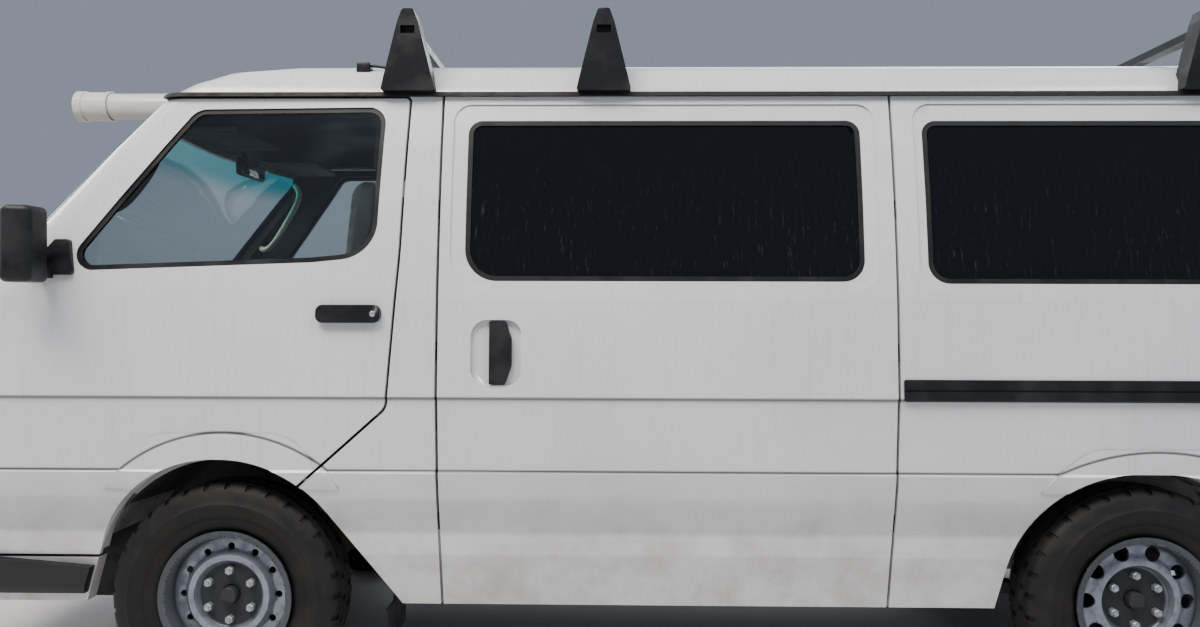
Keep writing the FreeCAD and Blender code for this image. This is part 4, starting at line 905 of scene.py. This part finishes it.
def bent_tube(points, radius, sides=5):
    """A tube along a smooth line through a few points."""
    line = bpy.data.curves.new("line", "CURVE")
    line.dimensions = "3D"
    line.bevel_depth = radius
    line.bevel_resolution = sides
    line.use_fill_caps = True
    run = line.splines.new("NURBS")
    run.points.add(len(points) - 1)
    for spot, place in zip(run.points, points):
        spot.co = (*place, 1)
    run.order_u = 3
    run.use_endpoint_u = True
    run.resolution_u = 8
    holder = bpy.data.objects.new("tube", line)
    bpy.context.scene.collection.objects.link(holder)
    alone(holder)
    bpy.ops.object.convert(target="MESH")
    tube = bpy.context.object
    smooth(tube, 60)
    return tube


def turned_disc(middle, direction, steps, corners=32):
    """A round piece: a circle drawn out step by step along a direction.
    Each step is (distance along, radius)."""
    direction = Vector(direction).normalized()
    turn = direction.to_track_quat("Z", "Y")
    start, radius = steps[0]
    bpy.ops.mesh.primitive_circle_add(vertices=corners, radius=radius, fill_type="NGON",
                                      location=Vector(middle) + direction * start,
                                      rotation=turn.to_euler())
    disc = bpy.context.object
    settle(disc)
    bpy.ops.object.mode_set(mode="EDIT")
    bpy.ops.mesh.select_mode(type="FACE")
    bpy.ops.mesh.select_all(action="SELECT")
    for (before, narrow), (along, wide) in zip(steps, steps[1:]):
        move = direction * (along - before)
        bpy.ops.mesh.extrude_region_move(TRANSFORM_OT_translate={"value": move})
        bpy.ops.transform.resize(value=(wide / narrow,) * 3,
                                 center_override=Vector(middle) + direction * along)
    bpy.ops.mesh.select_all(action="SELECT")
    bpy.ops.mesh.normals_make_consistent(inside=False)
    bpy.ops.object.mode_set(mode="OBJECT")
    smooth(disc, 40)
    return disc


def grab_handles():
    """A bowed handle on each windscreen pillar."""
    for name, side, low, high in (("left", LEFT, (-1.62, 1.42), (-1.47, 1.62)),
                                  ("right", RIGHT, (-1.6, 1.38), (-1.45, 1.64))):
        across = side * 0.61
        out = side * 0.045
        points = (
            (low[0] - 0.045, across + out, low[1] + 0.02),
            (low[0], across, low[1]),
            ((low[0] + high[0]) / 2 + 0.012, across - out / 3, (low[1] + high[1]) / 2),
            (high[0], across, high[1]),
            (high[0] - 0.045, across + out * 0.6, high[1] + 0.03),
        )
        rest_as(bent_tube(points, 0.0115), f"grab_handle_{name}", "black_plastic", "body",
                finish="pale_trim" if side == RIGHT else None)


def cab_mirror():
    """The inside mirror on its stalk from the header."""
    shell = rounded_slab((-1.452, -0.115, 1.615), (-1.428, 0.115, 1.68), 0.011, 4)
    stalk = bent_tube(((-1.445, 0, 1.665), (-1.46, 0, 1.69), (-1.47, 0, 1.712)), 0.008)
    rest_as(united([shell, stalk]), "cab_mirror", "black_plastic", "body")
    face = rounded_slab((-1.4285, -0.106, 1.622), (-1.4262, 0.106, 1.673), 0.001, 1)
    rest_as(face, "cab_mirror_face", "black_plastic", "body", finish="mirror_silver")


def sun_visors():
    """Padded visors folded up under the header, with their rods."""
    for name, side in SIDES:
        low, high = sorted((side * 0.14, side * 0.52))
        visor = rounded_slab((-1.43, low, 1.694), (-1.28, high, 1.711), 0.007, 3)
        rod = bent_tube(((-1.43, side * 0.12, 1.7), (-1.434, side * 0.3, 1.702),
                         (-1.43, side * 0.54, 1.7)), 0.004)
        rest_as(united([visor, rod]), f"sun_visor_{name}", "black_plastic", "body",
                finish="cab_trim")


def levers():
    """Gear lever with its boot, handbrake and the three pedals."""
    boot = turned_disc((-1.5, 0.06, 0.88), (0.1, 0, 1),
                       ((0, 0.055), (0.02, 0.05), (0.03, 0.04), (0.05, 0.042),
                        (0.06, 0.03), (0.08, 0.03), (0.09, 0.014)))
    stick = bent_tube(((-1.497, 0.06, 0.93), (-1.485, 0.062, 1.0), (-1.47, 0.066, 1.1),
                       (-1.455, 0.068, 1.16)), 0.007)
    knob = turned_disc((-1.456, 0.068, 1.15), (0.1, 0, 1),
                       ((0, 0.01), (0.008, 0.019), (0.024, 0.024), (0.04, 0.02),
                        (0.047, 0.01)), 24)
    brake = bent_tube(((-1.5, -0.06, 0.9), (-1.44, -0.06, 0.96), (-1.3, -0.06, 1.03)), 0.009)
    grip = bent_tube(((-1.36, -0.06, 1.002), (-1.32, -0.06, 1.021), (-1.24, -0.06, 1.055)), 0.016)
    rest_as(united([boot, stick, knob, brake, grip]), "cab_levers", "black_plastic",
            "body")
    pedals = []
    for across in (0.27, 0.37, 0.47):
        pad = rounded_slab((-1.775, across - 0.028, 0.66), (-1.76, across + 0.028, 0.72), 0.005)
        arm = bent_tube(((-1.775, across, 0.69), (-1.8, across, 0.78),
                         (-1.83, across, 0.86)), 0.007)
        pedals += [pad, arm]
    rest_as(united(pedals), "pedals", "black_plastic", "body")


def dashboard_face():
    """Dial hood, dials, vents, glove box lid and heater panel."""
    hood = rounded_slab((-1.868, 0.2, 1.14), (-1.776, 0.56, 1.272), 0.024, 5)
    lid = rounded_slab((-1.664, -0.56, 0.985), (-1.642, -0.2, 1.07), 0.006)
    panel = rounded_slab((-1.668, -0.13, 0.985), (-1.642, 0.13, 1.085), 0.006)
    rest_as(united([hood, lid, panel]), "dash_mouldings", "black_plastic", "body")
    dials = []
    for across, radius in ((0.31, 0.042), (0.45, 0.042), (0.38, 0.018)):
        dials.append(turned_disc((-1.777, across, 1.213), (1, 0, 0),
                                 ((0, radius), (0.004, radius), (0.006, radius * 0.94),
                                  (0.003, radius * 0.9), (0.002, radius * 0.3),
                                  (0.006, radius * 0.12))))
    knobs = [turned_disc((-1.643, across, 1.03), (1, 0, 0),
                         ((0, 0.016), (0.012, 0.014), (0.015, 0.01)), 20)
             for across in (-0.09, 0, 0.09)]
    rest_as(united(dials + knobs), "dials", "silver_steel", "body")
    slats = []
    for across in (-0.63, -0.16, 0.16, 0.62):
        for level in (1.076, 1.088, 1.1):
            slats.append(rounded_slab((-1.655, across - 0.045, level - 0.002),
                                      (-1.624, across + 0.045, level + 0.002), 0.0015, 1))
    rest_as(united(slats), "dash_vents", "black_plastic", "body")


def door_insides(name, side):
    """Arm rest, pull and window winder on a front door's inside."""
    inner = side * 0.782
    deep = side * 0.735
    low, high = sorted((inner, deep))
    rest = rounded_slab((-1.33, low, 1.0), (-0.99, high, 1.055), 0.016, 4)
    pull = bent_tube(((-1.5, inner, 1.1), (-1.48, side * 0.745, 1.11), (-1.38, side * 0.74, 1.12),
                      (-1.28, side * 0.745, 1.13), (-1.26, inner, 1.135)), 0.009)
    hub = turned_disc((-1.42, inner, 0.92), (0, -side, 0),
                      ((0, 0.028), (0.014, 0.026), (0.02, 0.012)), 24)
    crank = bent_tube(((-1.42, side * 0.762, 0.92), (-1.38, side * 0.752, 0.9),
                       (-1.32, side * 0.75, 0.88)), 0.006)
    knob = turned_disc((-1.32, side * 0.75, 0.88), (0, -side, 0),
                       ((0, 0.01), (0.008, 0.012), (0.026, 0.01), (0.03, 0.006)), 20)
    rest_as(united([rest, pull, hub, crank, knob]), f"door_inside_{name}",
            "black_plastic", f"front_door_{name}", finish="cab_trim")


def key_locks():
    """Round key barrels in the front door handles."""
    for name, side in SIDES:
        barrel = turned_disc((-0.775, side * 0.845, 1.129), (0, side, 0),
                             ((0, 0.008), (0.0042, 0.008), (0.005, 0.0065),
                              (0.0045, 0.0045), (0.0025, 0.0015)), 24)
        rest_as(barrel, f"door_lock_{name}", "silver_steel", f"front_door_{name}")


def roof_stop():
    """A small block on the roof's edge, with a rod back to the first rack
    tower."""
    block = rounded_slab((-0.868, -0.676, 1.838), (-0.826, -0.644, 1.866), 0.004)
    rod = bent_tube(((-0.83, -0.66, 1.859), (-0.805, -0.66, 1.857), (-0.782, -0.66, 1.852)), 0.004)
    rest_as(united([block, rod]), "roof_stop", "black_plastic", "body")


def shade_sheets():
    """Dark rubber sheets that hang from the chassis rails ahead of the front wheels,
    each with three bolt heads: painted shade, standing in for the shadow under the van there."""
    for name, side in SIDES:
        low, high = sorted((side * 0.381, side * 0.386))
        pieces = [rounded_slab((-1.94, low, 0.205), (-1.45, high, 0.54), 0.002, 2)]
        for along in (-1.88, -1.695, -1.51):
            pieces.append(turned_disc((along, side * 0.3855, 0.512), (0, side, 0),
                                      ((0, 0.014), (0.002, 0.014), (0.0022, 0.009),
                                       (0.008, 0.0085)), 6))
        rest_as(united(pieces), f"shade_sheet_{name}", "black_rubber", "body")


def brake_plates():
    """Pressed plates behind the wheels, seen through their holes."""
    for name, axle, side, body in (("front_left", FRONT_AXLE, LEFT, "knuckle_left"),
                                   ("front_right", FRONT_AXLE, RIGHT, "knuckle_right"),
                                   ("rear_left", REAR_AXLE, LEFT, "body"),
                                   ("rear_right", REAR_AXLE, RIGHT, "body")):
        plate = turned_disc((axle, side * 0.662, AXLE_UP), (0, side, 0),
                            ((0, 0.15), (0.003, 0.155), (0.006, 0.152),
                             (0.003, 0.138), (0.003, 0.02)), 64)
        rest_as(plate, f"brake_plate_{name}", "cast_iron", body)


grab_handles()
cab_mirror()
roof_stop()
brake_plates()
shade_sheets()
sun_visors()
levers()
dashboard_face()
for name, side in SIDES:
    door_insides(name, side)
key_locks()


# Stage, light and camera

def stage():
    """A pale floor under soft studio light."""
    bpy.ops.mesh.primitive_plane_add(size=60, location=(0, 0, 0))
    floor = bpy.context.object
    floor.name = "floor"
    tone = Finish("pale_floor")
    tone.colour(tone.blend(tone.noise(3, 4), (0.62, 0.61, 0.6), (0.66, 0.655, 0.65)))
    tone.set(Roughness=0.8)
    floor.data.materials.append(tone.material)


def soft_light(name, place, target, size, power, tint):
    """A rectangular lamp that faces a target."""
    lamp = bpy.data.lights.new(name, "AREA")
    lamp.shape = "RECTANGLE"
    lamp.size, lamp.size_y = size
    lamp.energy = power
    lamp.color = tint
    holder = bpy.data.objects.new(name, lamp)
    bpy.context.scene.collection.objects.link(holder)
    holder.location = place
    holder.rotation_euler = (Vector(target) - Vector(place)).to_track_quat("-Z", "Y").to_euler()


stage()
soft_light("key", (-2.8, -3.7, 6.8), (-0.2, 0, 0.8), (5, 2.6), 640, (1, 0.955, 0.89))
soft_light("side_fill", (3.6, -3.8, 7), (0.8, 0, 0.6), (4, 2.4), 240, (0.92, 0.95, 1))
soft_light("front", (-8, 2.5, 4), (-1, 0, 1), (4, 4), 260, (1, 0.98, 0.95))
soft_light("back", (3, 8, 5), (0, 0, 1), (7, 4), 380, (0.92, 0.95, 1))

world = bpy.data.worlds.new("studio")
bpy.context.scene.world = world
world.use_nodes = True
sky = world.node_tree.nodes["Background"]
sky.inputs["Color"].default_value = (0.62, 0.7, 0.86, 1)
sky.inputs["Strength"].default_value = 0.4

# The camera fitted to the photo: its place, its turns from level in radians,
# and its focal length in the photo's pixels
CAMERA_AT = (-0.0985, -3.465, 1.147)
YAW, PITCH, ROLL = 0.0187, -0.0058, 0.0027
FOCAL_PIXELS = 954.7
PHOTO_WIDE = 1200
SENSOR_WIDE = 36
lens = bpy.data.cameras.new("photo_camera")
lens.sensor_width = SENSOR_WIDE
lens.lens = FOCAL_PIXELS / PHOTO_WIDE * SENSOR_WIDE
camera = bpy.data.objects.new("photo_camera", lens)
bpy.context.scene.collection.objects.link(camera)
upright = Matrix.Rotation(math.pi / 2 + PITCH, 4, "X")
aim = Matrix.Rotation(YAW, 4, "Z") @ upright @ Matrix.Rotation(ROLL, 4, "Z")
camera.matrix_world = Matrix.Translation(CAMERA_AT) @ aim
bpy.context.scene.camera = camera
